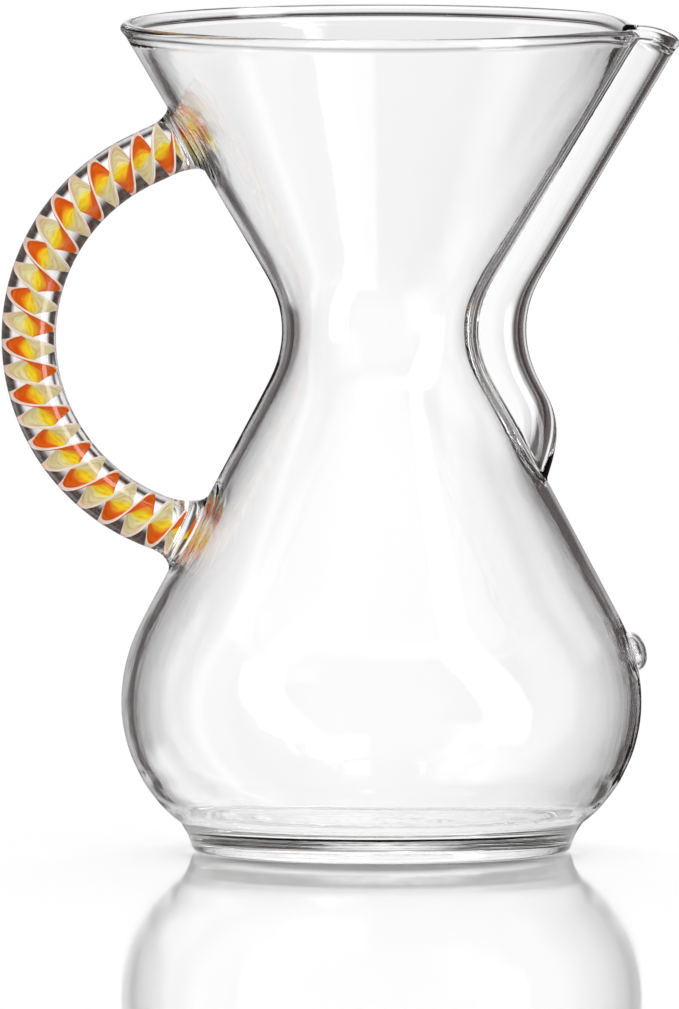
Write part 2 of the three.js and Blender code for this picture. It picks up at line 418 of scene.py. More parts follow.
class Bench:
    """Modelling operators, each on one piece with nothing else selected."""

    @staticmethod
    def clear() -> None:
        """Leave edit mode and deselect everything."""
        if bpy.context.object and bpy.context.object.mode != "OBJECT":
            bpy.ops.object.mode_set(mode="OBJECT")
        bpy.ops.object.select_all(action="DESELECT")

    @staticmethod
    def named(name: str) -> bpy.types.Object:
        """Name the primitive that was just added.

        Args:
            name: The piece's name.

        Returns:
            The piece.
        """
        piece = bpy.context.object
        piece.name = name
        piece.data.name = name
        return piece

    @staticmethod
    def mode(name: str) -> None:
        """Change to edit or object mode."""
        bpy.ops.object.mode_set(mode=name)

    @staticmethod
    def chain(name: str, stations: Points) -> bpy.types.Object:
        """Draw a chain of edges in the XZ plane by extruding one vertex.

        Args:
            name: The piece's name.
            stations: Radius and height of each point, in millimetres.

        Returns:
            The piece, in edit mode, all selected.
        """
        Bench.clear()
        bpy.ops.mesh.primitive_plane_add(size=MM)
        piece = Bench.named(name)
        Bench.mode("EDIT")
        bpy.ops.mesh.merge(type="CENTER")
        steps = np.diff(np.vstack([[0.0, 0.0], stations]), axis=0) * MM
        bpy.ops.transform.translate(value=(steps[0][0], 0.0, steps[0][1]))
        for radius, height in steps[1:]:
            bpy.ops.mesh.extrude_vertices_move(TRANSFORM_OT_translate={"value": (radius, 0.0, height)})
        bpy.ops.mesh.select_all(action="SELECT")
        return piece

    @staticmethod
    def tidy(merge: float = 1e-6) -> None:
        """Merge doubles and turn the faces outwards, in edit mode.

        Args:
            merge: Distance under which points are one.
        """
        bpy.ops.mesh.select_all(action="SELECT")
        bpy.ops.mesh.remove_doubles(threshold=merge)
        bpy.ops.mesh.normals_make_consistent(inside=False)

    @staticmethod
    def places(piece: bpy.types.Object) -> Points:
        """Points of a piece in millimetres.

        Args:
            piece: The piece, in object mode.

        Returns:
            One row per vertex.
        """
        flat = np.empty(len(piece.data.vertices) * 3)
        piece.data.vertices.foreach_get("co", flat)
        return flat.reshape(-1, 3) / MM

    @staticmethod
    def place(piece: bpy.types.Object, points: Points) -> None:
        """Move the points of a piece.

        Args:
            piece: The piece, in object mode.
            points: One row per vertex, in millimetres.
        """
        piece.data.vertices.foreach_set("co", (points * MM).ravel())
        piece.data.update()

    @staticmethod
    def pick(piece: bpy.types.Object, chosen: Iterable[int]) -> None:
        """Select vertices by number and go to edit mode.

        Args:
            piece: The piece.
            chosen: Vertex numbers.
        """
        Bench.mode("EDIT")
        bpy.ops.mesh.select_mode(type="VERT")
        bpy.ops.mesh.select_all(action="DESELECT")
        Bench.mode("OBJECT")
        for number in chosen:
            piece.data.vertices[int(number)].select = True
        Bench.mode("EDIT")

    @staticmethod
    def chart(piece: bpy.types.Object, first: Points, second: Points) -> None:
        """Write two values of each vertex into a piece's UV map.

        Args:
            piece: The piece, in object mode.
            first: First value of each vertex.
            second: Second value of each vertex.
        """
        corners = np.empty(len(piece.data.loops), dtype=np.int32)
        piece.data.loops.foreach_get("vertex_index", corners)
        uv = np.column_stack([first[corners], second[corners]])
        piece.data.uv_layers[0].data.foreach_set("uv", uv.ravel())

    @staticmethod
    def thicken(piece: bpy.types.Object, thickness: float, offset: float) -> None:
        """Give the active piece's sheet a thickness.

        Args:
            piece: The piece, in object mode.
            thickness: How thick, in millimetres.
            offset: Which side it grows to: -1 inwards, 0 both.
        """
        solid = piece.modifiers.new("thickness", "SOLIDIFY")
        solid.thickness = thickness * MM
        solid.offset = offset
        bpy.ops.object.modifier_apply(modifier=solid.name)

    @staticmethod
    def smooth(piece: bpy.types.Object) -> None:
        """Shade a piece smooth.

        Args:
            piece: The piece.
        """
        Bench.clear()
        piece.select_set(True)
        bpy.context.view_layer.objects.active = piece
        bpy.ops.object.shade_smooth()


def join(piece: bpy.types.Object, material: bpy.types.Material, part: Part) -> None:
    """Give a piece its material and put it in the frame.

    Args:
        piece: The piece.
        material: Its finish.
        part: Node that it stands for, which is hidden.
    """
    piece.data.materials.clear()
    piece.data.materials.append(material)
    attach(piece, "root")
    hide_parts(part.value)
    log.info("%s: %d faces, stands for %s", piece.name, len(piece.data.polygons), part.value)


# Curves


def ease(value: Any, low: float, high: float) -> Any:
    """Smooth rise from 0 to 1 between two values."""
    t = np.clip((np.asarray(value, float) - low) / (high - low), 0.0, 1.0)
    return t * t * (3.0 - 2.0 * t)


def arc(centre: Pair, radius: float, start: float, end: float, count: int) -> Points:
    """Points on an arc.

    Args:
        centre: Centre of the arc.
        radius: Its radius.
        start: First angle, in radians.
        end: Last angle.
        count: How many points.

    Returns:
        One row per point.
    """
    angles = np.linspace(start, end, count)
    return np.column_stack([centre[0] + radius * np.cos(angles), centre[1] + radius * np.sin(angles)])


def along(points: Points) -> Points:
    """Distance along a line at each of its points."""
    return np.concatenate([[0.0], np.cumsum(np.linalg.norm(np.diff(points, axis=0), axis=1))])


def respaced(points: Points, places: Points) -> Points:
    """Points of a line at given distances along it."""
    lengths = along(points)
    return np.column_stack([np.interp(places, lengths, points[:, i]) for i in range(points.shape[1])])


def evenly(points: Points, count: int, power: float = 1.0) -> Points:
    """Points of a line, evenly spaced or crowded towards its end by a power under 1."""
    return respaced(points, along(points)[-1] * np.linspace(0.0, 1.0, count) ** power)


def weighed(places: Points, weight: Points) -> Points:
    """Running total of a weight over a run of places."""
    return np.concatenate([[0.0], np.cumsum((weight[1:] + weight[:-1]) / 2 * np.diff(places))])


def unit(vectors: Points) -> Points:
    """Rows brought to length 1."""
    return vectors / np.linalg.norm(vectors, axis=1)[:, None]


def softened(points: Points, reach: float, spacing: float = 0.1) -> Points:
    """Round off a line's corners.

    Args:
        points: The line.
        reach: How far the rounding reaches.
        spacing: Distance between the points of the result.

    Returns:
        The rounded line, its ends kept.
    """
    length = along(points)[-1]
    fine = respaced(points, np.linspace(0.0, length, int(length / spacing) + 1))
    wide = int(4 * reach / spacing)
    kernel = np.exp(-0.5 * (np.arange(-wide, wide + 1) * spacing / reach) ** 2)
    kernel /= kernel.sum()
    head = 2 * fine[0] - fine[wide:0:-1]
    tail = 2 * fine[-1] - fine[-2:-wide - 2:-1]
    long = np.vstack([head, fine, tail])
    return np.column_stack([np.convolve(long[:, i], kernel, "valid") for i in range(fine.shape[1])])


# Vessel


@dataclass
class VesselWall:
    """Inner and outer surface of the blown body, in millimetres."""

    rim_radius: float = 73.4
    rim_height: float = 231.9
    neck_radius: float = 27.9
    neck_height: float = 146.6
    neck_blend: float = 29.0
    bulb_radius: float = 73.1
    bulb_height: float = 41.8
    shoulder_arc: float = 48.9
    lower_arc: float = 43.0
    foot_line: tuple[Pair, ...] = ((53.2, 1.0), (54.4, 4.8), (56.4, 8.0))
    foot_corner: float = 1.0
    lower_arc_start: float = 10.0
    hollow_line: tuple[Pair, ...] = (
        (0.0, 4.4), (48.8, 4.4), (50.7, 3.7), (49.8, 1.0), (50.3, 0.0), (51.0, 0.0))
    floor_height: float = 7.3
    floor_corner: float = 5.0
    walls: tuple[Pair, ...] = (
        (0.0, 3.0), (41.8, 3.0), (100.0, 3.4), (146.6, 3.9),
        (190.0, 3.8), (216.0, 3.6), (227.0, 3.4), (231.9, 3.0))
    foot_rounding: float = 0.8
    wall_rounding: float = 3.0
    rounding_change: Span = (12.0, 26.0)
    under_rounding: float = 0.5
    over_rim: float = 6.0
    foot_clear: float = 3.0
    bead_radius: float = 1.75
    bead_reach: float = 1.95
    bead_proud: float = 0.3
    bead_sink: float = 0.25
    channel_depth: float = 12.7
    channel_half_rim: float = 11.5
    channel_half_foot: float = 8.0
    channel_wall: float = 2.1
    heel_height: float = 128.0
    channel_foot: float = 104.5
    outer_fillet: float = 0.9
    inner_fillet: float = 1.2
    fold_thinning: float = 0.3
    rim_dip: float = 1.5
    dip_reach: float = 32.0
    lip_drop: float = 4.3

    def __post_init__(self) -> None:
        """Work out the two lines of the wall."""
        outer = self._outer_line()
        fine = softened(outer, self.foot_rounding)
        broad = softened(outer, self.wall_rounding)
        share = ease(fine[:, 1], *self.rounding_change)[:, None]
        self.outer = fine * (1.0 - share) + broad * share
        self.inner = self._inner_line()

    def _outer_line(self) -> Points:
        """Line of arcs and straights up the outside, from the foot's corner to above the rim.

        Returns:
            Radius and height of each point.
        """
        blend = np.array([self.neck_radius + self.neck_blend, self.neck_height])
        bulb = np.array([self.bulb_radius - self.shoulder_arc, self.bulb_height])
        lower = (self.bulb_radius - self.lower_arc, self.bulb_height)
        to_rim = np.array([self.rim_radius, self.rim_height]) - blend
        to_neck = blend - bulb
        funnel = math.acos(-self.neck_blend / np.linalg.norm(to_rim)) - math.atan2(to_rim[1], to_rim[0])
        lean = (self.neck_blend + self.shoulder_arc) / np.linalg.norm(to_neck)
        shoulder = math.atan2(to_neck[1], to_neck[0]) - math.acos(lean)
        self.funnel_slope = funnel
        self.shoulder_slope = shoulder
        corner = (self.foot_line[0][0] - self.foot_corner, self.foot_corner)
        start = -math.asin((self.bulb_height - self.lower_arc_start) / self.lower_arc)
        rim = np.array([[self.rim_radius, self.rim_height]])
        over = np.array([[math.tan(funnel), 1.0]]) * self.over_rim
        return np.vstack([
            [self.hollow_line[-1]],
            arc(corner, self.foot_corner, -math.pi / 2, 0.0, 12),
            np.array(self.foot_line[1:]),
            arc(lower, self.lower_arc, start, 0.0, 60),
            arc(tuple(bulb), self.shoulder_arc, 0.0, shoulder, 40)[1:],
            arc(tuple(blend), self.neck_blend, math.pi + shoulder, math.pi - funnel, 60),
            rim,
            rim + over,
        ])

    def _inner_line(self) -> Points:
        """Line of the inside, from above the rim down to the floor and in to the axis.

        Returns:
            Radius and height of each point.
        """
        upper = self.outer[self.outer[:, 1] > self.foot_clear]
        slope = np.gradient(upper[:, 0]) / np.gradient(upper[:, 1])
        normal = np.column_stack([np.ones_like(slope), -slope]) / np.sqrt(1.0 + slope ** 2)[:, None]
        places, depths = zip(*self.walls)
        wall = upper - normal * np.interp(upper[:, 1], places, depths)[:, None]
        wall = wall[wall[:, 1] > self.floor_height + self.floor_corner][::-1]
        turn = wall[-1][0] - self.floor_corner
        floor = np.array([[turn, self.floor_height], [-20.0, self.floor_height]])
        line = softened(np.vstack([wall, floor]), self.floor_corner * 0.6)
        return line[line[:, 0] >= 0.0]

    def outer_radius(self, height: Any) -> Any:
        """Radius of the plain outside at a height above the foot."""
        return np.interp(height, self.outer[:, 1], self.outer[:, 0])

    def inner_radius(self, height: Any) -> Any:
        """Radius of the plain inside at a height above the bowl."""
        rising = self.inner[::-1]
        return np.interp(height, rising[:, 1], rising[:, 0])

    def keel(self, height: float) -> float:
        """Distance from the axis to the channel's keel.

        Args:
            height: The height.

        Returns:
            The distance.
        """
        fall = (self.heel_height - height) / (self.heel_height - self.channel_foot)
        turn = math.cos(min(max(fall, 0.0), 1.0) * math.pi / 2)
        return float(self.outer_radius(height)) + self.channel_depth * turn

    def nose_half(self, height: float) -> float:
        """Half of the channel's width at a height."""
        share = (height - self.channel_foot) / (self.rim_height - self.channel_foot)
        return self.channel_half_foot + share * (self.channel_half_rim - self.channel_half_foot)

    def dip(self, distance: Points, channel: float) -> Points:
        """How far the edge sinks towards the spout.

        Args:
            distance: Distance round the edge from the spout's tip.
            channel: Distance at which the channel ends.

        Returns:
            The drop at each distance.
        """
        broad = self.rim_dip * (1.0 - ease(distance, channel, channel + self.dip_reach))
        lip = (self.lip_drop - self.rim_dip) * (1.0 - ease(distance, 0.0, channel))
        return broad + lip


class Outline:
    """Plan of one surface of the wall at a height: nose, flank, fillet, body, from the keel round to -X."""

    least_channel = 1e-4
    samples = 2000
    crowd_fade = 22.0

    def __init__(self, radius: float, keel: float, half: float, fillet: float) -> None:
        """Work out the pieces of the half with Y above 0.

        Args:
            radius: Radius of the body.
            keel: Distance from the axis to the keel.
            half: Radius of the channel's round nose.
            fillet: Radius of the blend between the body and the channel.
        """
        self.radius = radius
        self.fillet = fillet
        self.half = half
        self.centre = keel - half
        self.flank = 0.0
        self.nose_end = 0.0
        self.body_start = 0.0
        self.fillet_span = 0.0
        if keel > radius + self.least_channel:
            self._channel()
        self.cuts = np.cumsum([
            self.half * self.nose_end, self.flank, self.fillet * self.fillet_span,
            self.radius * (math.pi - self.body_start),
        ])

    def _channel(self) -> None:
        """Find where the nose, the flank, the fillet and the body meet."""
        reach = self.radius + self.fillet
        side = self.half + self.fillet
        at_flank = math.sqrt(reach ** 2 - side ** 2)
        if at_flank <= self.centre:
            self.blend_centre = (at_flank, side)
            self.flank = self.centre - at_flank
            self.nose_end = math.pi / 2
        else:
            x = (reach ** 2 - side ** 2 + self.centre ** 2) / (2 * self.centre)
            y = math.sqrt(max(reach ** 2 - x ** 2, 0.0))
            self.blend_centre = (x, y)
            self.nose_end = math.atan2(y, x - self.centre)
        self.body_start = math.atan2(self.blend_centre[1], self.blend_centre[0])
        self.fillet_span = self.nose_end - self.body_start

    @property
    def channel(self) -> float:
        """Distance from the keel at which the channel ends."""
        return float(self.cuts[2])

    @property
    def length(self) -> float:
        """Distance from the keel to the far side."""
        return float(self.cuts[3])

    def at(self, distance: Points) -> Points:
        """Points at distances from the keel.

        Args:
            distance: Distances along the half outline.

        Returns:
            X and Y of each.
        """
        nose, flank, fillet, _ = self.cuts
        turn = distance / self.half
        points = np.column_stack([self.centre + self.half * np.cos(turn), self.half * np.sin(turn)])
        if self.flank > 0.0:
            on_flank = np.column_stack([self.centre - (distance - nose), np.full_like(distance, self.half)])
            points = np.where((distance > nose)[:, None], on_flank, points)
        if self.fillet_span > 0.0:
            turn = self.nose_end + math.pi - (distance - flank) / self.fillet
            spoke = np.column_stack([np.cos(turn), np.sin(turn)])
            on_fillet = np.array(self.blend_centre) + self.fillet * spoke
            points = np.where((distance > flank)[:, None], on_fillet, points)
        turn = self.body_start + (distance - fillet) / self.radius
        on_body = self.radius * np.column_stack([np.cos(turn), np.sin(turn)])
        return np.where((distance >= fillet)[:, None], on_body, points)

    def columns(self, count: int, crowding: float, least: float) -> tuple[Points, Points]:
        """Points all round, crowded on the channel.

        Args:
            count: How many points.
            crowding: How much closer they lie on the channel.
            least: Distance from the keel that is crowded at the least.

        Returns:
            The points, and their distances from the keel.
        """
        fine = np.linspace(0.0, self.length, self.samples)
        edge = max(self.channel, least)
        total = weighed(fine, 1.0 + crowding * (1.0 - ease(fine, edge, edge + self.crowd_fade)))
        distance = np.interp(np.linspace(0.0, total[-1], count // 2 + 1), total, fine)
        near = self.at(distance)
        far = near[-2:0:-1] * [1.0, -1.0]
        return np.vstack([near, far]), np.concatenate([distance, distance[-2:0:-1]])


@dataclass(frozen=True)
class Bump:
    """Place on the inside where something melted on outside pushes the wall in."""

    x: float
    height: float
    reach: float
    rise: float


@dataclass
class Vessel:
    """Blown body with its channel, lip and foot, spun from one profile and pressed out at the channel."""

    wall: VesselWall
    finish: ClearGlass = ClearGlass("clear_vessel_glass", streaks=0.8)
    columns: int = 320
    cuts: int = 3
    crowding: float = 2.6
    least_crowded: float = 14.0
    wall_step: float = 2.5
    heel_crowding: float = 0.9
    heel_start: Span = (12.0, 2.0)
    heel_end: float = 14.0
    lip_crowding: float = 0.8
    lip_start: Span = (16.0, 4.0)
    under_steps: int = 26
    under_crowding: float = 0.5
    foot_steps: int = 34
    foot_top: float = 12.0
    bowl_steps: int = 40
    bowl_top: float = 16.0
    below_lip: float = 2.2
    fold_rise: Span = (-1.0, 1.5)
    fold_fall: Span = (4.0, 26.0)
    fold_foot: float = 4.0
    fold_rim: Span = (26.0, 4.0)
    fold_fade: float = 0.7
    sink_reach: float = 46.0
    bead_steps: int = 18
    bead_span: Span = (-38.0, 238.0)
    bead_tilt: float = 6.0
    bead_roll: float = 42.0
    bead_back: Span = (-0.5, 0.6)
    two_lobes: Pair = (0.10, 31.0)
    three_lobes: Pair = (0.07, 23.0)
    ripple: Pair = (0.06, 1.35)
    ripple_sway: float = 0.7
    ripple_rise: Span = (9.0, 14.0)
    ripple_fall: Span = (20.0, 34.0)
    waver_rise: Span = (16.0, 40.0)
    waver_middle: Span = (5.0, 40.0)
    inside_phase: float = 1.9
    phase_ratio: float = 2.1
    bumps: list[Bump] = field(default_factory=list)

    def build(self) -> bpy.types.Object:
        """Draw the profile, spin it and press out the channel.

        Returns:
            The body.
        """
        self._lay_stations()
        piece = Bench.chain("vessel_wall", self.stations)
        Bench.mode("OBJECT")
        mark = piece.data.attributes.new("station", "FLOAT", "POINT")
        mark.data.foreach_set("value", np.arange(len(self.stations), dtype=float))
        Bench.mode("EDIT")
        bpy.ops.mesh.select_all(action="SELECT")
        spun = self.columns // (self.cuts + 1)
        bpy.ops.mesh.spin(steps=spun, angle=2 * math.pi, center=(0, 0, 0), axis=(0, 0, 1))
        Bench.mode("OBJECT")
        station = self._station(piece)
        for edge in piece.data.edges:
            first, second = edge.vertices
            edge.select = bool(station[first] == station[second])
        Bench.mode("EDIT")
        bpy.ops.mesh.select_mode(type="EDGE")
        bpy.ops.mesh.subdivide(number_cuts=self.cuts)
        Bench.tidy()
        Bench.mode("OBJECT")
        self._press(piece)
        Bench.mode("EDIT")
        Bench.tidy()
        Bench.smooth(piece)
        piece.data.attributes.remove(piece.data.attributes["station"])
        return piece

    def dress(self, piece: bpy.types.Object) -> None:
        """Give the body its glass and its place in the frame."""
        join(piece, self.finish.material(), Part.BODY)

    def _lay_stations(self) -> None:
        """Choose the profile's points: underside, foot, outside, lip, inside, bowl and floor."""
        wall = self.wall
        top = wall.rim_height - self.below_lip
        foot = wall.outer[wall.outer[:, 1] < self.foot_top]
        under = softened(np.vstack([np.array(wall.hollow_line), [foot[1]]]), wall.under_rounding)
        under = evenly(under[under[:, 0] < foot[0][0]], self.under_steps, self.under_crowding)[:-1]
        under[0, 0] = 0.0
        foot = evenly(foot, self.foot_steps)
        self.outer_heights = self._heights(wall.outer, self.foot_top, top)
        self.inner_heights = self._heights(wall.inner[::-1], self.bowl_top, top)[::-1]
        bowl = evenly(wall.inner[wall.inner[:, 1] < self.bowl_top], self.bowl_steps)
        bowl[-1, 0] = 0.0
        self.bead_angles = np.radians(np.linspace(*self.bead_span, self.bead_steps))
        middle = float(wall.outer_radius(wall.rim_height) + wall.inner_radius(wall.rim_height)) / 2
        bead = np.column_stack([
            middle + wall.bead_reach * np.cos(self.bead_angles),
            wall.rim_height + wall.bead_radius * np.sin(self.bead_angles),
        ])
        outer = np.column_stack([wall.outer_radius(self.outer_heights), self.outer_heights])
        inner = np.column_stack([wall.inner_radius(self.inner_heights), self.inner_heights])
        parts = [under, foot, outer, bead, inner, bowl[1:]]
        self.stations = np.vstack(parts)
        self.starts = np.concatenate([[0], np.cumsum([len(part) for part in parts])])

    def _heights(self, line: Points, low: float, high: float) -> Points:
        """Heights of the wall's stations, closer at the heel of the channel and under the lip.

        Args:
            line: The wall's line, rising.
            low: First height.
            high: Last height.

        Returns:
            The heights.
        """
        part = line[(line[:, 1] > low) & (line[:, 1] < high)]
        height = part[:, 1]
        wall = self.wall
        heel = ease(height, *(wall.channel_foot - below for below in self.heel_start))
        heel = heel - ease(height, wall.heel_height, wall.heel_height + self.heel_end)
        lip = ease(height, *(wall.rim_height - below for below in self.lip_start))
        weight = 1.0 + self.heel_crowding * heel + self.lip_crowding * lip
        total = weighed(along(part), weight)
        count = int(total[-1] / self.wall_step)
        return np.interp(np.linspace(0.0, total[-1], count + 1), total, height)

    def _surface(self, heights: Points, inset: bool) -> tuple[Points, Points]:
        """Points of one surface of the wall, with the edge's dip.

        Args:
            heights: Heights of its stations.
            inset: True for the inside.

        Returns:
            Points by station and column, and the points of its upper edge by column.
        """
        top = self.wall.rim_height
        levels = np.append(np.sort(heights), top)
        plans = []
        for height in levels:
            outline = self._outline(float(height), inset)
            points, distance = outline.columns(self.columns, self.crowding, self.least_crowded)
            if inset:
                thin = self._thinning(float(height), outline, distance)
                points = points * (1.0 + thin / np.linalg.norm(points, axis=1))[:, None]
            plans.append(points)
        plans = np.array(plans)
        drop = self.wall.dip(distance, outline.channel)
        heights = np.append(heights, top)
        placed = np.empty((len(heights), self.columns, 3))
        share = ease(heights, top - self.sink_reach, top)
        for i in range(self.columns):
            sunk = heights - drop[i] * share
            for axis in range(2):
                placed[:, i, axis] = np.interp(sunk, levels, plans[:, i, axis])
            placed[:, i, 2] = sunk
        return placed[:-1], placed[-1]

    def _thinning(self, height: float, outline: Outline, distance: Points) -> Points:
        """How much the inside is set outwards beside the channel's fold.

        Args:
            height: The height.
            outline: Plan of the inside there.
            distance: Distance of each column from the keel.

        Returns:
            The amount for each column.
        """
        wall = self.wall
        beyond = distance - outline.channel
        thin = ease(beyond, *self.fold_rise) * (1.0 - ease(beyond, *self.fold_fall))
        thin *= wall.fold_thinning * ease(height, wall.channel_foot - self.fold_foot, wall.heel_height)
        thin *= wall.outer_radius(height) - outline.radius
        near_rim = ease(height, *(wall.rim_height - below for below in self.fold_rim))
        return thin * (1.0 - self.fold_fade * near_rim)

    def _outline(self, height: float, inset: bool) -> Outline:
        """Plan of the outside or the inside at a height.

        Args:
            height: The height.
            inset: True for the inside.

        Returns:
            The plan.
        """
        wall = self.wall
        keel = wall.keel(height)
        half = wall.nose_half(height)
        if not inset:
            return Outline(float(wall.outer_radius(height)), keel, half, wall.outer_fillet)
        inner = float(wall.inner_radius(height))
        share = ease(height, wall.channel_foot, wall.heel_height)
        plain = float(wall.outer_radius(height)) - inner
        depth = plain + share * (wall.channel_wall / math.cos(wall.shoulder_slope) - plain)
        return Outline(inner, keel - depth, half - wall.channel_wall, wall.inner_fillet)

    def _station(self, piece: bpy.types.Object) -> Points:
        """Station of every point of the spun profile.

        Args:
            piece: The spun body, in object mode.

        Returns:
            Station numbers by vertex.
        """
        mark = np.empty(len(piece.data.vertices))
        piece.data.attributes["station"].data.foreach_get("value", mark)
        return np.rint(mark).astype(int)

    def _press(self, piece: bpy.types.Object) -> None:
        """Move every point of the spun body to its place on the pressed one.

        Args:
            piece: The spun body.
        """
        spun = Bench.places(piece)
        angle = np.arctan2(spun[:, 1], spun[:, 0])
        column = np.rint(angle / (2 * math.pi) * self.columns).astype(int) % self.columns
        Bench.place(piece, self._grid()[self._station(piece), column])

    def _grid(self) -> Points:
        """Place of every station and column of the body.

        Returns:
            Points by station and column.
        """
        starts = self.starts
        outer, outer_lip = self._surface(self.outer_heights, False)
        inner, inner_lip = self._surface(self.inner_heights, True)
        lowest = outer[0]
        turn = np.arctan2(lowest[:, 1], lowest[:, 0])
        radius, height = self.stations[:, :1], self.stations[:, 1:]
        grid = np.stack([radius * np.cos(turn), radius * np.sin(turn), height + 0.0 * turn], axis=-1)
        grid[starts[2]:starts[3]] = outer
        grid[starts[3]:starts[4]] = self._bead(outer_lip, inner_lip)
        grid[starts[4]:starts[5]] = inner
        self._waver(grid)
        self._swell(grid)
        return grid

    def _bead(self, outer: Points, inner: Points) -> Points:
        """Round bead on the edge, standing a little proud at the back and rolled in at the front.

        Args:
            outer: Upper edge of the outside, by column.
            inner: Upper edge of the inside, by column.

        Returns:
            Points by step of the bead and column.
        """
        wall = self.wall
        middle = (outer + inner) / 2
        ahead = np.roll(middle, -1, axis=0) - np.roll(middle, 1, axis=0)
        outward = unit(np.column_stack([ahead[:, 1], -ahead[:, 0], np.zeros(self.columns)]))
        upward = np.array([0.0, 0.0, 1.0])
        back = ease(outward[:, 1], *self.bead_back)
        flush = wall.bead_reach / math.cos(wall.funnel_slope)
        inward = (flush + back * (wall.bead_reach - wall.bead_proud - flush))[:, None]
        centre = outer - inward * outward - wall.bead_sink * upward
        rows = []
        for share, lean in zip(np.linspace(0.0, 1.0, self.bead_steps), self.bead_angles):
            roll = math.radians(self.bead_tilt * (1.0 - share) - self.bead_roll * share)
            leans = (lean + (1.0 - back) * roll)[:, None]
            across = wall.bead_reach * np.cos(leans) * outward
            rows.append(centre + across + wall.bead_radius * np.sin(leans) * upward)
        return np.array(rows)

    def _waver(self, grid: Points) -> None:
        """Add the faint unevenness of blown glass and the ripples above the foot.

        Args:
            grid: Places by station and column, changed in place.
        """
        height = grid[:, :, 2]
        turn = np.arctan2(grid[:, :, 1], grid[:, :, 0])
        radius = np.hypot(grid[:, :, 0], grid[:, :, 1])
        inside = (np.arange(len(grid)) >= self.starts[4])[:, None]
        phase = np.where(inside, self.inside_phase, 0.0)
        swell, rise = self.two_lobes
        slow = swell * np.sin(2 * turn + height / rise + phase)
        swell, rise = self.three_lobes
        slow += swell * np.sin(3 * turn - height / rise + self.phase_ratio * phase)
        swell, rise = self.ripple
        ring = swell * np.sin(height / rise + self.ripple_sway * np.sin(turn + phase) + phase)
        ring *= ease(height, *self.ripple_rise) * (1.0 - ease(height, *self.ripple_fall))
        amount = (slow * ease(height, *self.waver_rise) + ring) * ease(radius, *self.waver_middle)
        scale = (radius + amount) / np.maximum(radius, 1e-6)
        grid[:, :, 0] *= scale
        grid[:, :, 1] *= scale

    def _swell(self, grid: Points) -> None:
        """Push the inside in where the handle and the button were melted on.

        Args:
            grid: Places by station and column, changed in place.
        """
        inner = grid[self.starts[4]:self.starts[5]]
        for bump in self.bumps:
            away = np.linalg.norm(inner - np.array([bump.x, 0.0, bump.height]), axis=-1)
            near = np.exp(-((away / bump.reach) ** 4))
            inner[:, :, 0] -= math.copysign(bump.rise, bump.x) * near


# Button


@dataclass
class Button:
    """Level button: a small gob of glass on the bulb."""

    wall: VesselWall
    height: float = 56.2
    radius: float = 5.6
    rise: float = 3.3
    shell: float = 0.6
    core_radius: float = 4.2
    core_rise: float = 2.1
    segments: int = 48
    rings: int = 32
    crease: float = math.radians(50)
    gap: float = 0.05
    lift: float = 0.12
    bend: float = 0.8
    edge_lift: float = 0.1
    finish: ClearGlass = ClearGlass("clear_button_glass", wave_size=300.0)

    def build(self) -> bpy.types.Object:
        """Make a thin dome over a flatter gob and seat both on the bulb.

        Returns:
            The button.
        """
        Bench.clear()
        self._ball(self.radius)
        piece = Bench.named("level_button_gob")
        Bench.mode("EDIT")
        self._halve(False, self.rise / self.radius)
        Bench.mode("OBJECT")
        Bench.thicken(piece, self.shell, -1.0)
        Bench.mode("EDIT")
        bpy.ops.mesh.select_all(action="DESELECT")
        self._ball(self.core_radius)
        self._halve(True, self.core_rise / self.core_radius)
        Bench.tidy()
        Bench.mode("OBJECT")
        self._seat(piece)
        Bench.smooth(piece)
        bpy.ops.object.shade_smooth_by_angle(angle=self.crease)
        return piece

    def _ball(self, radius: float) -> None:
        """Add a ball."""
        bpy.ops.mesh.primitive_uv_sphere_add(
            segments=self.segments, ring_count=self.rings, radius=radius * MM)

    def _halve(self, closed: bool, flatness: float) -> None:
        """Cut the picked ball in half, keep the upper half and flatten it.

        Args:
            closed: True to close the cut.
            flatness: Factor on its height.
        """
        middle = (0, 0, 0)
        bpy.ops.mesh.bisect(plane_co=middle, plane_no=(0, 0, 1), use_fill=closed, clear_inner=True)
        bpy.ops.mesh.select_linked()
        bpy.ops.transform.resize(value=(1.0, 1.0, flatness), center_override=middle)

    def _seat(self, piece: bpy.types.Object) -> None:
        """Lay the button on the bulb's wall.

        Args:
            piece: The button, built about the origin with its crown on +Z.
        """
        wall = self.wall
        points = Bench.places(piece)
        tilt = math.asin((self.height - wall.bulb_height) / wall.shoulder_arc)
        outward = np.array([math.cos(tilt), 0.0, math.sin(tilt)])
        upward = np.array([-math.sin(tilt), 0.0, math.cos(tilt)])
        sideways = np.array([0.0, -1.0, 0.0])
        centre = np.array([float(wall.outer_radius(self.height)), 0.0, self.height])
        flat = points[:, :1] * upward + points[:, 1:2] * sideways
        reach = np.linalg.norm(points[:, :2], axis=1)
        sink = reach ** 2 / (2 * wall.bulb_radius * self.bend)
        raised = points[:, 2] * (1.0 + self.edge_lift * (reach / self.radius) ** 2)
        level = raised + self.gap + self.lift - sink
        Bench.place(piece, centre + flat + level[:, None] * outward)

    def dress(self, piece: bpy.types.Object) -> None:
        """Give the button its glass and its place in the frame."""
        join(piece, self.finish.material(), Part.BUTTON)


# Handle

SIDEWAYS = np.array([0.0, 1.0, 0.0])


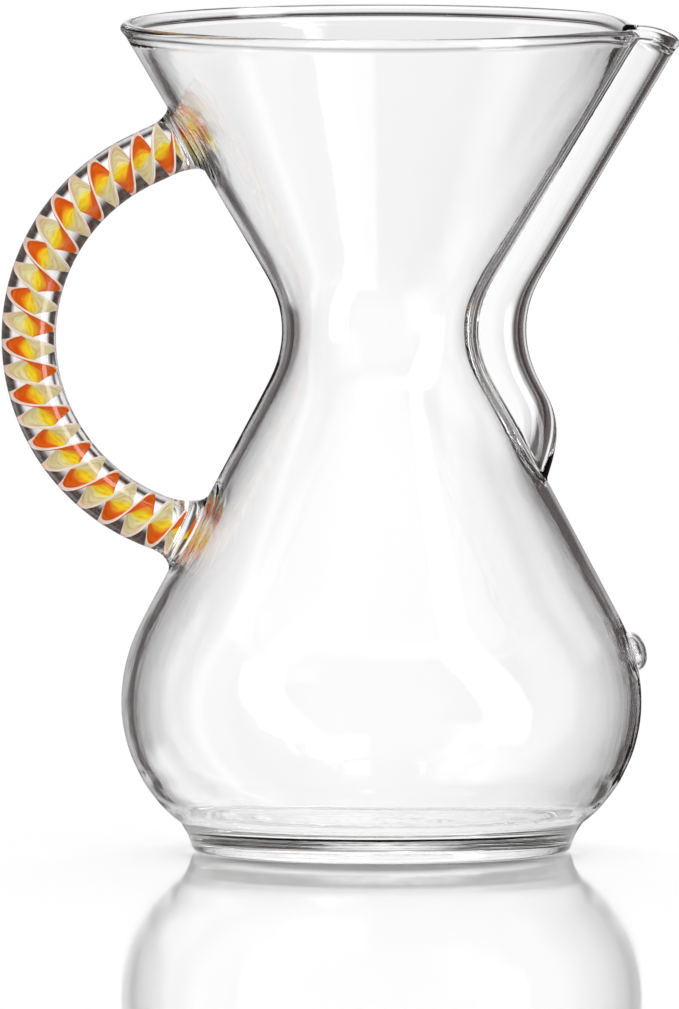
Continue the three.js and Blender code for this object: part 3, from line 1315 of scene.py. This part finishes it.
@dataclass
class HandleLine:
    """Middle line of the handle: an arc in the XZ plane with a straight lead to the wall at each end."""

    wall: VesselWall
    arc_radius: float = 55.4
    centre: Pair = (-43.7, 144.5)
    upper_slope: float = math.radians(25)
    lower_slope: float = math.radians(20)
    longest_lead: float = 40.0
    halvings: int = 50

    def __post_init__(self) -> None:
        """Work out the arc's ends and the leads."""
        self.start = math.pi / 2 + self.upper_slope
        self.end = 1.5 * math.pi - self.lower_slope
        self.upper_lead = np.array([math.cos(self.upper_slope), 0.0, math.sin(self.upper_slope)])
        self.lower_lead = np.array([math.cos(self.lower_slope), 0.0, -math.sin(self.lower_slope)])
        self.upper_reach = self.to_wall(self.on_arc(self.start)[None], self.upper_lead)[0]
        self.lower_reach = self.to_wall(self.on_arc(self.end)[None], self.lower_lead)[0]
        self.arc_length = self.arc_radius * (self.end - self.start)
        self.length = self.upper_reach + self.arc_length + self.lower_reach

    def on_arc(self, angle: float) -> Points:
        """Point of the arc at an angle."""
        x, z = self.centre
        return np.array([x + self.arc_radius * math.cos(angle), 0.0, z + self.arc_radius * math.sin(angle)])

    def to_wall(self, points: Points, direction: Points) -> Points:
        """Distance from points to the outside of the wall.

        Args:
            points: Where the rays start, outside the wall.
            direction: Which way they go.

        Returns:
            The distance of each.
        """
        low = np.zeros(len(points))
        high = np.full(len(points), self.longest_lead)
        for _ in range(self.halvings):
            half = (low + high) / 2
            there = points + half[:, None] * direction
            clear = np.hypot(there[:, 0], there[:, 1]) > self.wall.outer_radius(there[:, 2])
            low = np.where(clear, half, low)
            high = np.where(clear, high, half)
        return low

    def at(self, distance: float) -> tuple[Points, Points]:
        """Place and direction at a distance from the upper wall.

        Args:
            distance: Distance along the line.

        Returns:
            The point and the unit direction.
        """
        past = distance - self.upper_reach
        if past < 0.0:
            return self.on_arc(self.start) - past * self.upper_lead, -self.upper_lead
        if past > self.arc_length:
            return self.on_arc(self.end) + (past - self.arc_length) * self.lower_lead, self.lower_lead
        angle = self.start + past / self.arc_radius
        return self.on_arc(angle), np.array([-math.sin(angle), 0.0, math.cos(angle)])


@dataclass
class Rod:
    """Clear rod of the handle with its melted, flared ends."""

    line: HandleLine
    radius: float = 7.65
    sides: int = 64
    arc_steps: int = 96
    upper_flare: Pair = (6.5, 10.4)
    lower_flare: Pair = (8.0, 11.6)
    flare_mix: float = 0.35
    lead_steps: int = 5
    flare_steps: int = 13
    flare_crowding: float = 0.8
    flare_power: float = 1.5
    cap_shares: tuple[float, ...] = (0.8, 0.6, 0.4, 0.2)
    pick_depth: float = 0.001
    pick_radius: float = 1.01
    follow_wall: Span = (0.15, 1.0)
    gap: float = 0.05
    finish: ClearGlass = ClearGlass("clear_rod_glass", wave_size=160.0, wave_height=0.00002)

    def build(self) -> bpy.types.Object:
        """Spin a ring round the arc, extrude the leads and close the ends on the wall.

        Returns:
            The rod.
        """
        line = self.line
        start = line.on_arc(line.start)
        Bench.clear()
        bpy.ops.mesh.primitive_circle_add(vertices=self.sides, radius=self.radius * MM, fill_type="NOTHING")
        piece = Bench.named("handle_rod_clear")
        points = Bench.places(piece)
        spoke = np.array([math.cos(line.start), 0.0, math.sin(line.start)])
        Bench.place(piece, start + points[:, :1] * spoke + points[:, 1:2] * SIDEWAYS)
        Bench.mode("EDIT")
        bpy.ops.mesh.select_all(action="SELECT")
        x, z = line.centre
        bpy.ops.mesh.spin(
            steps=self.arc_steps, angle=line.end - line.start,
            center=(x * MM, 0.0, z * MM), axis=(0.0, 1.0, 0.0))
        Bench.mode("OBJECT")
        self._end(piece, line.start, line.upper_lead, line.upper_reach, self.upper_flare)
        self._end(piece, line.end, line.lower_lead, line.lower_reach, self.lower_flare)
        Bench.mode("EDIT")
        Bench.tidy()
        Bench.smooth(piece)
        return piece

    def _end(self, piece: bpy.types.Object, angle: float, lead: Points, reach: float, flare: Pair) -> None:
        """Extrude one end of the rod to the wall, flare it and close it.

        Args:
            piece: The rod.
            angle: Angle of the arc's end.
            lead: Direction of the lead.
            reach: Distance along the lead to the wall.
            flare: Length and end radius of the flare.
        """
        centre = self.line.on_arc(angle)
        points = Bench.places(piece)
        near = np.abs((points - centre) @ lead) < self.pick_depth
        near &= np.linalg.norm(points - centre, axis=1) < self.radius * self.pick_radius
        Bench.pick(piece, np.flatnonzero(near))
        length, wide = flare
        straight = reach - length
        swelling = np.linspace(0.0, 1.0, self.flare_steps + 1)[1:] ** self.flare_crowding
        way = np.concatenate([
            np.linspace(0.0, straight, self.lead_steps + 1)[1:] / reach,
            (straight + length * swelling) / reach,
        ])
        for share in way:
            part = max(share * reach - straight, 0.0) / length
            curl = 1.0 - math.sqrt(1.0 - min(part, 1.0) ** 2)
            grow = part ** self.flare_power * self.flare_mix + curl * (1.0 - self.flare_mix)
            self._ring(piece, centre, lead, reach, self.radius + (wide - self.radius) * grow, share)
        for share in self.cap_shares:
            self._ring(piece, centre, lead, reach, wide * share, 1.0)
        bpy.ops.mesh.extrude_region_move()
        bpy.ops.mesh.merge(type="CENTER")
        Bench.mode("OBJECT")

    def _ring(self, piece: bpy.types.Object, centre: Points, lead: Points, reach: float, size: float,
              share: float) -> None:
        """Extrude the picked ring along the lead, each point by its own distance to the wall.

        Args:
            piece: The rod, in edit mode with the ring selected.
            centre: End of the arc.
            lead: Direction of the lead.
            reach: Distance along the lead to the wall.
            size: Radius of the ring.
            share: How much of the way it goes; at 1 it lies on the wall.
        """
        bpy.ops.mesh.extrude_region_move()
        Bench.mode("OBJECT")
        points = Bench.places(piece)
        ring = np.array([v.index for v in piece.data.vertices if v.select])
        spoke = points[ring] - centre
        base = centre + unit(spoke - (spoke @ lead)[:, None] * lead) * size
        far = self.line.to_wall(base, lead) - self.gap
        carried = (reach + (far - reach) * ease(share, *self.follow_wall)) * share
        points[ring] = base + carried[:, None] * lead
        Bench.place(piece, points)
        Bench.mode("EDIT")

    def dress(self, piece: bpy.types.Object) -> None:
        """Give the rod its glass and its place in the frame."""
        join(piece, self.finish.material(), Part.ROD)


# Ribbon

ORANGE_RED = (0.70, 0.075, 0.010)
ORANGE = (0.82, 0.150, 0.011)
AMBER = (0.93, 0.44, 0.012)
YELLOW = (0.90, 0.73, 0.012)
LEMON = (0.84, 0.85, 0.22)
CREAM = (0.79, 0.90, 0.53)
PALE_CREAM = (0.84, 0.92, 0.62)
PINK_WHITE = (0.98, 0.93, 0.90)
WARM_WHITE = (0.98, 0.97, 0.93)


@dataclass(frozen=True)
class Strip:
    """One strip of the ribbon, by its place across it."""

    part: Part
    name: str
    start: float
    end: float
    finish: Enamel


@dataclass
class Ribbon:
    """Flat strips side by side with a round thread at each edge, twisted together along the handle."""

    line: HandleLine
    width: float = 10.6
    thickness: float = 0.8
    thread_radius: float = 0.644
    pitch: float = 13.13
    phase: float = 3.24
    curl: float = -0.55
    end_gap: float = 2.0
    steps_per_turn: int = 30
    strip_cells: int = 8
    thread_cells: int = 12
    crease: float = math.radians(40)

    def strips(self) -> list[Strip]:
        """The three coloured strips.

        Returns:
            Each strip, by share of the ribbon's width.
        """
        blend = (
            (0.00, ORANGE_RED), (0.14, ORANGE), (0.29, ORANGE), (0.37, AMBER), (0.45, YELLOW), (0.53, YELLOW),
            (0.60, LEMON), (0.68, CREAM), (1.00, PALE_CREAM))
        return [
            Strip(Part.ORANGE, "ribbon_strip_orange", 0.07, 0.39, Enamel("orange_enamel", blend)),
            Strip(Part.YELLOW, "ribbon_strip_yellow", 0.39, 0.60, Enamel("yellow_enamel", blend)),
            Strip(Part.CREAM, "ribbon_strip_cream", 0.60, 0.93, Enamel("cream_enamel", blend)),
        ]

    def threads(self) -> list[Strip]:
        """The two round edge threads.

        Returns:
            Each thread, by share of the ribbon's width.
        """
        pale = ((0.0, PINK_WHITE), (1.0, WARM_WHITE))
        pink = Enamel("pink_white_enamel", pale, 0.06)
        warm = Enamel("warm_white_enamel", pale, 0.06)
        return [
            Strip(Part.ORANGE_EDGE, "ribbon_thread_orange_side", 0.0, 0.10, pink),
            Strip(Part.CREAM_EDGE, "ribbon_thread_cream_side", 0.90, 1.0, warm),
        ]

    @property
    def span(self) -> float:
        """Length of the ribbon along the handle."""
        return self.line.length - 2 * self.end_gap

    def frame_at(self, distance: float) -> tuple[Points, Points, Points]:
        """Place and axes of the ribbon.

        Args:
            distance: Distance from the upper wall.

        Returns:
            Middle point, width axis and face axis.
        """
        point, direction = self.line.at(distance)
        twist = self.phase - 2 * math.pi * distance / self.pitch
        width = np.cross(SIDEWAYS, direction) * math.cos(twist) + SIDEWAYS * math.sin(twist)
        return point, width, np.cross(direction, width)

    def _grid(self, name: str, across: int) -> tuple[bpy.types.Object, Points, Points, int]:
        """Add a flat grid and read its places along and across.

        Args:
            name: The piece's name.
            across: Cells across it.

        Returns:
            The piece, each point's share along and across, and the cells along it.
        """
        count = int(self.span / self.pitch * self.steps_per_turn)
        Bench.clear()
        bpy.ops.mesh.primitive_grid_add(x_subdivisions=count, y_subdivisions=across, size=2.0, calc_uvs=True)
        piece = Bench.named(name)
        flat = Bench.places(piece) * MM
        return piece, (flat[:, 0] + 1) / 2, (flat[:, 1] + 1) / 2, count

    def _frames(self, shares: Points, count: int) -> tuple[Points, Points, Points, Points]:
        """Frames of the ribbon at shares of its length.

        Args:
            shares: Share along it of each point.
            count: Cells along it.

        Returns:
            Distance, middle points, width axes and face axes.
        """
        rows = np.rint(shares * count).astype(int)
        table = [self.frame_at(self.end_gap + self.span * i / count) for i in range(count + 1)]
        middle, width, face = (np.array(column)[rows] for column in zip(*table))
        return self.end_gap + self.span * shares, middle, width, face

    def build_strip(self, strip: Strip) -> bpy.types.Object:
        """Twist a flat grid into a strip and give it its thickness.

        Args:
            strip: Which strip.

        Returns:
            The strip.
        """
        piece, long, wide, count = self._grid(strip.name, self.strip_cells)
        distance, middle, width, face = self._frames(long, count)
        place = strip.start + (strip.end - strip.start) * wide
        curl = self.curl * (np.abs(2 * place - 1.0) - 1.0)
        across = np.cos(curl)[:, None] * width + np.sin(curl)[:, None] * face
        Bench.place(piece, middle + ((place - 0.5) * self.width)[:, None] * across)
        Bench.chart(piece, distance / self.pitch, place)
        Bench.thicken(piece, self.thickness, 0.0)
        Bench.mode("EDIT")
        bpy.ops.mesh.select_all(action="SELECT")
        bpy.ops.mesh.normals_make_consistent(inside=False)
        Bench.smooth(piece)
        bpy.ops.object.shade_smooth_by_angle(angle=self.crease)
        return piece

    def build_thread(self, strip: Strip) -> bpy.types.Object:
        """Roll a flat grid into a round thread along one edge of the ribbon.

        Args:
            strip: Which edge.

        Returns:
            The thread.
        """
        piece, long, wide, count = self._grid(strip.name, self.thread_cells)
        distance, middle, width, face = self._frames(long, count)
        turn = wide * 2 * math.pi
        place = ((strip.start + strip.end) / 2 - 0.5) * self.width
        aside = place + self.thread_radius * np.cos(turn)
        proud = self.thread_radius * np.sin(turn)
        Bench.place(piece, middle + aside[:, None] * width + proud[:, None] * face)
        Bench.chart(piece, distance / self.pitch, wide)
        Bench.mode("EDIT")
        bpy.ops.mesh.select_all(action="SELECT")
        bpy.ops.mesh.remove_doubles(threshold=1e-7)
        bpy.ops.mesh.select_all(action="DESELECT")
        bpy.ops.mesh.select_non_manifold()
        bpy.ops.mesh.edge_face_add()
        bpy.ops.mesh.select_all(action="SELECT")
        bpy.ops.mesh.normals_make_consistent(inside=False)
        Bench.smooth(piece)
        return piece

    def build(self) -> list[tuple[bpy.types.Object, Strip]]:
        """Build the strips and the threads."""
        made = [(self.build_strip(strip), strip) for strip in self.strips()]
        return made + [(self.build_thread(strip), strip) for strip in self.threads()]

    def dress(self, made: list[tuple[bpy.types.Object, Strip]]) -> None:
        """Give each strip its enamel and its place in the frame."""
        for piece, strip in made:
            join(piece, strip.finish.material(), strip.part)


# Welds


@dataclass(frozen=True)
class SmearEnamel:
    """Ribbon colours drawn out into streaks where the rod was melted into the wall, clear between them."""

    name: str
    stops: Stops
    cover: Span = (0.40, 0.62)
    ends: Span = (0.28, 0.5)
    drift: float = 0.5
    drift_cells: Vector = (1.5, 6.0, 1.0)
    streak_cells: Vector = (1.1, 17.0, 1.0)
    octaves: float = 3.0
    opacity: float = 0.9
    roughness: float = 0.5
    rough_spread: float = 0.2

    def material(self) -> bpy.types.Material:
        """Build the material. The UV map holds the place along the wall and the place across the smear.

        Returns:
            The material.
        """
        made = bpy.data.materials.new(self.name)
        graph = Graph(made)
        uv = graph.place("UV")
        x, _, _ = graph.axes(uv)
        drift = graph.noise(uv, 1.0, self.octaves, self.drift_cells) - 0.5
        stops = graph.node("ShaderNodeValToRGB", {"stops": self.stops}, {"Fac": x + drift * self.drift})
        streaks = graph.noise(uv, 1.0, self.octaves, self.streak_cells)
        middle = (x - 0.5).maths("ABSOLUTE")
        solid = streaks.ramp(*self.cover) * (1.0 - middle.ramp(*self.ends))
        graph.finish(graph.principled({
            "Base Color": stops.out("Color"), "Roughness": self.roughness + streaks * self.rough_spread,
            "Specular IOR Level": 0.0, "Alpha": solid * self.opacity,
        }))
        return made


@dataclass
class Smear:
    """Lens of drawn-out colour inside the wall at one end of the handle."""

    wall: VesselWall
    part: Part
    height: float
    depth: float
    tall: float
    wide: float
    thick: float
    finish: SmearEnamel
    segments: int = 40
    rings: int = 24
    bulge: float = 0.25

    def build(self) -> bpy.types.Object:
        """Flatten a ball and lay it in the wall.

        Returns:
            The smear.
        """
        Bench.clear()
        bpy.ops.mesh.primitive_uv_sphere_add(
            segments=self.segments, ring_count=self.rings, radius=MM, calc_uvs=True)
        piece = Bench.named(self.part.value + "_smear")
        Bench.mode("EDIT")
        bpy.ops.mesh.select_all(action="SELECT")
        bpy.ops.transform.resize(value=(self.thick, self.wide, self.tall))
        Bench.mode("OBJECT")
        points = Bench.places(piece)
        rise = points[:, 2] / self.tall
        side = points[:, 1] / self.wide
        Bench.chart(piece, (rise + 1) / 2, (side + points[:, 0] / self.thick * 0.5 + 1) / 2)
        heights = self.height + points[:, 2]
        bulge = self.bulge * np.sin(2.3 * rise * math.pi + 1.0) * (1 - rise ** 2)
        out = self.wall.outer_radius(heights) - self.depth + points[:, 0] + bulge
        turn = points[:, 1] / float(self.wall.outer_radius(self.height))
        Bench.place(piece, np.column_stack([-out * np.cos(turn), out * np.sin(turn), heights]))
        Bench.mode("EDIT")
        Bench.tidy(1e-7)
        Bench.smooth(piece)
        return piece

    def dress(self, piece: bpy.types.Object) -> None:
        """Give the smear its streaks and its place in the frame."""
        join(piece, self.finish.material(), self.part)


# Stage


class Sky:
    """Directions and kinds of the rays that reach the world."""

    one_wall: Span = (2.4, 2.6)
    least_level: float = 0.0001

    def __init__(self, graph: Graph) -> None:
        """Work out where each ray goes, how often it passed through glass and whether it was mirrored."""
        self.x, self.y, self.z = graph.axes(graph.place("Generated"))
        self.level = (self.x * self.x + self.y * self.y).maths("SQRT").larger(self.least_level)
        self.height = self.z.maths("ARCSINE") * (180 / math.pi)
        self.path = graph.node("ShaderNodeLightPath")
        self.passed = self.path.out("Transmission Depth")
        self.turned = self.path.out("Glossy Depth").smaller(1.0)
        self.thin = 1.0 - self.passed.ramp(*self.one_wall)
        self.once = self.thin * (1.0 - self.turned)
        self.outside = (1.0 - self.passed.smaller(1.0)) * self.turned

    def off(self, degrees: float) -> Value:
        """Angle round the horizon from a direction.

        Args:
            degrees: The direction, in degrees from +X.

        Returns:
            Each ray's angle from it, in degrees.
        """
        turn = math.radians(degrees)
        facing = (self.x * math.cos(turn) + self.y * math.sin(turn)) / self.level
        return facing.smaller(1.0).larger(-1.0).maths("ARCCOSINE") * (180 / math.pi)


def fall(value: Value, span: Span) -> Value:
    """Smooth fall from 1 to 0 over a span."""
    return 1.0 - value.ramp(*span)


@dataclass
class Studio:
    """Pale floor, soft light round the object and the camera. Floor sizes are in metres, spans of the world
    in degrees."""

    frame_height: float = 283.4
    aim: Vector = (-11.8, 0.0, 97.5)
    elevation: float = math.radians(4.06)
    away: float = 3000.0
    clip: Span = (0.1, 60.0)
    floor_size: float = 3.0
    floor_sides: int = 96
    floor_sink: float = 0.0001
    floor_fade: Span = (0.63, 0.9)
    glass_fade: Span = (0.06, 0.075)
    gloss: float = 1.16
    gloss_roughness: float = 0.06
    floor_level: float = 0.68
    # Painted light: the floor's colour is lighter under the foot, where glass sees it.
    painted_light_under_foot: float = 0.95
    painted_light_edge: Span = (0.050, 0.058)
    # Painted contact shadow: a dark ring in the floor's colour and reflection round the foot, reaching further
    # towards the camera.
    painted_contact_shadow: float = 0.72
    painted_shadow_start: Span = (0.0505, 0.0525)
    painted_shadow_end: Span = (0.050, 0.080)
    painted_shadow_shift: float = 0.022
    painted_shadow_squash: float = 1.69
    sun: float = 0.9
    sun_angle: float = math.radians(42.0)
    sun_rise: float = math.radians(56.0)
    dark: Colour = (0.054, 0.040, 0.038)
    white: Colour = (0.990, 0.985, 1.0)
    dome: float = 0.75
    overhead: float = 1.25
    overhead_from: Vector = (0.30, 0.40, 0.86)
    open_share: float = 0.85
    shade_share: float = 0.85
    shade_walls: Span = (2.4, 3.6)
    screens: tuple[Pair, ...] = ((91.4, -4.0), (180.0, -4.0))
    screen: float = 1.10
    screen_core: Span = (1.0, 4.0)
    core_loss: float = 0.05
    screen_middle: Span = (3.0, 9.0)
    middle_loss: float = 0.15
    screen_edge: Span = (9.0, 22.0)
    screen_ends: Span = (60.0, 80.0)
    skirt: float = 0.06
    skirt_edge: Span = (25.0, 50.0)
    single: float = 0.83
    single_edge: Span = (25.0, 36.0)
    single_top: Span = (4.0, 22.0)
    single_foot: Span = (6.0, 14.0)
    glint_edge: Span = (1.0, 7.0)
    raised: tuple[Pair, ...] = ((-45.0, -15.0), (135.0, -25.0))
    raised_edge: Span = (8.0, 25.0)
    raised_foot: Span = (-40.0, -25.0)
    raised_top: Span = (6.0, 12.0)
    raised_single: Span = (10.0, 18.0)
    raised_clear: Span = (32.0, 42.0)
    front: float = 0.35
    front_turn: float = -75.0
    front_edge: Span = (40.0, 60.0)
    front_foot: Span = (-50.0, -30.0)
    roof: float = 0.35
    roof_edge: Span = (55.0, 80.0)
    guided: float = 0.3
    guided_depth: Span = (7.5, 11.5)
    beneath: float = 0.8
    beneath_edge: Span = (36.0, 50.0)
    key: float = 7.0
    key_turn: float = 59.0
    key_lean: float = 0.4
    key_edge: Span = (8.0, 13.0)
    key_top: Span = (44.0, 60.0)
    key_foot: Span = (-24.0, -10.0)
    box: float = 2.4
    box_turn: float = -66.0
    box_edge: Span = (13.0, 19.0)
    box_foot: Span = (36.0, 44.0)
    box_top: Span = (68.0, 78.0)
    direct_foot: Span = (38.0, 46.0)
    direct_turn: float = -90.0
    direct_edge: Span = (36.0, 44.0)

    def build(self) -> None:
        """Set up the camera, the floor and the light."""
        scene = bpy.context.scene
        scene.view_settings.view_transform = "Standard"
        scene.cycles.max_bounces = 32
        scene.cycles.transmission_bounces = 32
        scene.cycles.glossy_bounces = 12
        scene.cycles.transparent_max_bounces = 16
        scene.cycles.blur_glossy = 0.0
        self._camera()
        self._floor()
        self._light()
        self._back_light()

    def _camera(self) -> None:
        """Place a camera without perspective at the viewing angle."""
        data = bpy.data.cameras.new("camera")
        data.type = "ORTHO"
        data.ortho_scale = self.frame_height * MM
        data.clip_start, data.clip_end = self.clip
        camera = bpy.data.objects.new("camera", data)
        bpy.context.scene.collection.objects.link(camera)
        x, y, z = self.aim
        back = self.away * math.cos(self.elevation)
        rise = self.away * math.sin(self.elevation)
        camera.location = (x * MM, (y - back) * MM, (z + rise) * MM)
        camera.rotation_euler = (math.pi / 2 - self.elevation, 0.0, 0.0)
        bpy.context.scene.camera = camera

    def _floor(self) -> None:
        """Lay a white floor that fades into the background."""
        Bench.clear()
        bpy.ops.mesh.primitive_circle_add(
            vertices=self.floor_sides, radius=self.floor_size, fill_type="NGON")
        floor = Bench.named("floor")
        Bench.mode("EDIT")
        bpy.ops.mesh.select_all(action="SELECT")
        bpy.ops.transform.translate(value=(0.0, 0.0, -self.floor_sink))
        Bench.mode("OBJECT")
        floor.data.materials.append(self._floor_material())

    def _floor_material(self) -> bpy.types.Material:
        """White floor with a painted contact shadow and a painted pool of light under the foot. The contact
        shadow is a dark ring at the foot that also dims the floor's reflection, and the pool of light is a
        lighter colour under the foot. Glass sees the floor only near the foot.

        Returns:
            The material.
        """
        made = bpy.data.materials.new("white_floor")
        graph = Graph(made)
        x, y, _ = graph.axes(graph.place("Object"))
        away = (x * x + y * y).maths("SQRT")
        path = graph.node("ShaderNodeLightPath")
        mirror = path.out("Is Glossy Ray") * path.out("Is Singular Ray")
        through = path.out("Is Transmission Ray").larger(mirror)
        through = through * (1.0 - path.out("Diffuse Depth").smaller(1.0))
        fade = away.ramp(*self.floor_fade).larger(through * away.ramp(*self.glass_fade))
        # Painted contact shadow round the foot, shifted and stretched towards the camera side.
        ahead = y + self.painted_shadow_shift
        near = (self.painted_shadow_squash * x * x + ahead * ahead).maths("SQRT")
        painted_contact_shadow = away.ramp(*self.painted_shadow_start) * fall(near, self.painted_shadow_end) * self.painted_contact_shadow
        # Painted light: a lighter floor colour under the foot than elsewhere.
        white = graph.blend(away.ramp(*self.painted_light_edge), (self.painted_light_under_foot,) * 3, (self.floor_level,) * 3)
        # Painted shadow: the contact ring darkens the floor colour towards black.
        white = graph.blend(painted_contact_shadow, white, BLACK)
        matt = graph.node("ShaderNodeBsdfDiffuse", None, {"Color": white}).out("BSDF")
        sockets = {"Color": WHITE, "Roughness": self.gloss_roughness}
        shine = graph.node("ShaderNodeBsdfGlossy", None, sockets).out("BSDF")
        sheen = graph.node("ShaderNodeFresnel", None, {"IOR": self.gloss}).out("Fac")
        # The painted contact shadow also dims the floor's reflection.
        sheen = sheen * (1.0 - painted_contact_shadow)
        surface = graph.node("ShaderNodeMixShader", None, {0: sheen, 1: matt, 2: shine}).out("Shader")
        clear = graph.node("ShaderNodeBsdfTransparent").out("BSDF")
        graph.finish(graph.node("ShaderNodeMixShader", None, {0: fade, 1: surface, 2: clear}).out("Shader"))
        return made

    def _back_light(self) -> None:
        """Add a broad soft light from above and behind, which lays the shadow on the floor."""
        data = bpy.data.lights.new("back_light", "SUN")
        data.energy = self.sun
        data.angle = self.sun_angle
        lamp = bpy.data.objects.new("back_light", data)
        bpy.context.scene.collection.objects.link(lamp)
        lamp.rotation_euler = (self.sun_rise - math.pi / 2, 0.0, 0.0)
        lamp.visible_glossy = False
        lamp.visible_transmission = False

    def _screen(self, sky: Sky, turn: float, rise: float) -> Value:
        """Tall white screen behind the glass, brightest in its middle.

        Args:
            sky: The rays.
            turn: Direction round the horizon, in degrees.
            rise: Height of its middle.

        Returns:
            How much of the screen each ray sees.
        """
        aside = sky.off(turn)
        apart = sky.height - rise
        soft = 1.0 - self.core_loss * aside.ramp(*self.screen_core)
        soft = soft - self.middle_loss * aside.ramp(*self.screen_middle)
        narrow = soft * fall(aside, self.screen_edge)
        narrow = narrow.larger(self.skirt * fall(aside, self.skirt_edge))
        near, far = self.screen_ends
        narrow = narrow * apart.ramp(-far, -near) * fall(apart, self.screen_ends)
        around = (aside * aside + apart * apart).maths("SQRT")
        single = fall(around, self.single_edge) * fall(apart, self.single_top)
        single = single * (self.single + (1.0 - self.single) * (-apart).ramp(*self.single_foot))
        glint = fall(aside, self.glint_edge)
        many = narrow * (1.0 - sky.once) * (1.0 - sky.outside)
        return many + single * sky.once + glint * narrow * sky.outside

    def _raised_screen(self, sky: Sky, turn: float, rise: float) -> Value:
        """White screen for a raised view, out of sight from the front.

        Args:
            sky: The rays.
            turn: Direction round the horizon, in degrees.
            rise: Height of its middle.

        Returns:
            How much of the screen each ray sees.
        """
        aside = sky.off(turn)
        apart = sky.height - rise
        narrow = fall(aside, self.raised_edge) * apart.ramp(*self.raised_foot) * fall(apart, self.raised_top)
        single = fall((aside * aside + apart * apart).maths("SQRT"), self.raised_single)
        seen = narrow * (1.0 - sky.once) + single * self.single * sky.once
        return seen * sky.off(90.0).ramp(*self.raised_clear)

    def _glass_light(self, sky: Sky) -> Value:
        """What glass sees of the studio: screens, a pale front and roof, a leaning strip and a soft box.

        Args:
            sky: The rays.

        Returns:
            Brightness for each ray.
        """
        height = sky.height
        seen = [self._screen(sky, *place) for place in self.screens]
        seen += [self._raised_screen(sky, *place) for place in self.raised]
        white = reduce(Value.larger, seen)
        facing = fall(sky.off(self.front_turn), self.front_edge) * fall(height, self.front_edge)
        facing = facing * height.ramp(*self.front_foot)
        round_from_front = sky.x.maths("ARCTAN2", -sky.y) * (180 / math.pi)
        leaning = (round_from_front - self.key_turn + self.key_lean * height.larger(0.0)).maths("ABSOLUTE")
        strip = fall(leaning, self.key_edge) * fall(height, self.key_top) * height.ramp(*self.key_foot)
        box = fall(sky.off(self.box_turn), self.box_edge) * height.ramp(*self.box_foot)
        box = box * fall(height, self.box_top)
        lit = (white * self.screen).larger(facing * self.front)
        lit = lit.larger(height.ramp(*self.roof_edge) * self.roof)
        lit = lit.larger(sky.path.out("Ray Depth").ramp(*self.guided_depth) * self.guided)
        lit = lit.larger(sky.once * (-height).ramp(*self.beneath_edge) * self.beneath)
        direct = sky.thin * height.ramp(*self.direct_foot) * fall(sky.off(self.direct_turn), self.direct_edge)
        return lit + (strip * self.key + box * self.box) * sky.turned * (1.0 - direct)

    def _light(self) -> None:
        """Light from a world: an even dome for matt surfaces, white screens amid dark for glass."""
        world = bpy.data.worlds.new("studio")
        bpy.context.scene.world = world
        world.cycles.sampling_method = "NONE"
        graph = Graph(world)
        sky = Sky(graph)
        path = sky.path
        lit = self._glass_light(sky)
        glass = graph.blend(lit.smaller(1.0), self.dark, self.white)
        strength = lit.larger(1.0)
        right, front, up = self.overhead_from
        even = self.dome + self.overhead * (right * sky.x - front * sky.y + up * sky.z).larger(0.0)
        open_floor = 1.0 - sky.passed.smaller(1.0)
        walls = sky.passed.ramp(*self.shade_walls)
        even = even * (1.0 - (1.0 - self.open_share) * open_floor - (1.0 - self.shade_share) * walls)
        rough = path.out("Is Glossy Ray") * (1.0 - path.out("Is Singular Ray"))
        plain = path.out("Is Camera Ray").larger(rough)
        matt = path.out("Diffuse Depth").smaller(1.0) * (1.0 - plain)
        colour = graph.blend(plain.larger(matt), glass, WHITE)
        shown = strength * (1.0 - plain) * (1.0 - matt) + plain + matt * even
        background = graph.node("ShaderNodeBackground", None, {"Color": colour, "Strength": shown})
        graph.finish(background.out("Background"), "ShaderNodeOutputWorld")


def main() -> None:
    """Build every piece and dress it."""
    logging.basicConfig(level=logging.INFO, format="%(message)s")
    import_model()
    Studio().build()
    wall = VesselWall()
    line = HandleLine(wall)
    upper = line.on_arc(line.start) + line.upper_reach * line.upper_lead
    lower = line.on_arc(line.end) + line.lower_reach * line.lower_lead
    button = Button(wall)
    inside = float(wall.inner_radius(button.height))
    bumps = [
        Bump(upper[0] + 3.0, upper[2] - 1.5, reach=9.5, rise=3.2),
        Bump(lower[0] + 3.0, lower[2] + 1.5, reach=10.5, rise=3.2),
        Bump(inside, button.height, reach=6.0, rise=1.4)]
    warm = SmearEnamel("upper_smear_enamel", (
        (0.10, CREAM), (0.32, YELLOW), (0.50, ORANGE), (0.66, ORANGE_RED), (0.80, AMBER),
        (0.94, PINK_WHITE)))
    pale = SmearEnamel("lower_smear_enamel", (
        (0.08, PINK_WHITE), (0.30, ORANGE), (0.46, YELLOW), (0.60, PINK_WHITE), (0.76, ORANGE),
        (0.92, CREAM)))
    assemblies = [
        Vessel(wall, bumps=bumps), button, Rod(line), Ribbon(line),
        Smear(wall, Part.UPPER_WELD, upper[2] + 1.6, depth=2.9, tall=8.0, wide=6.0, thick=1.3, finish=warm),
        Smear(wall, Part.LOWER_WELD, lower[2] + 0.4, depth=2.8, tall=9.5, wide=7.4, thick=1.2, finish=pale)]
    for assembly in assemblies:
        assembly.dress(assembly.build())


if __name__ == "__main__":
    main()
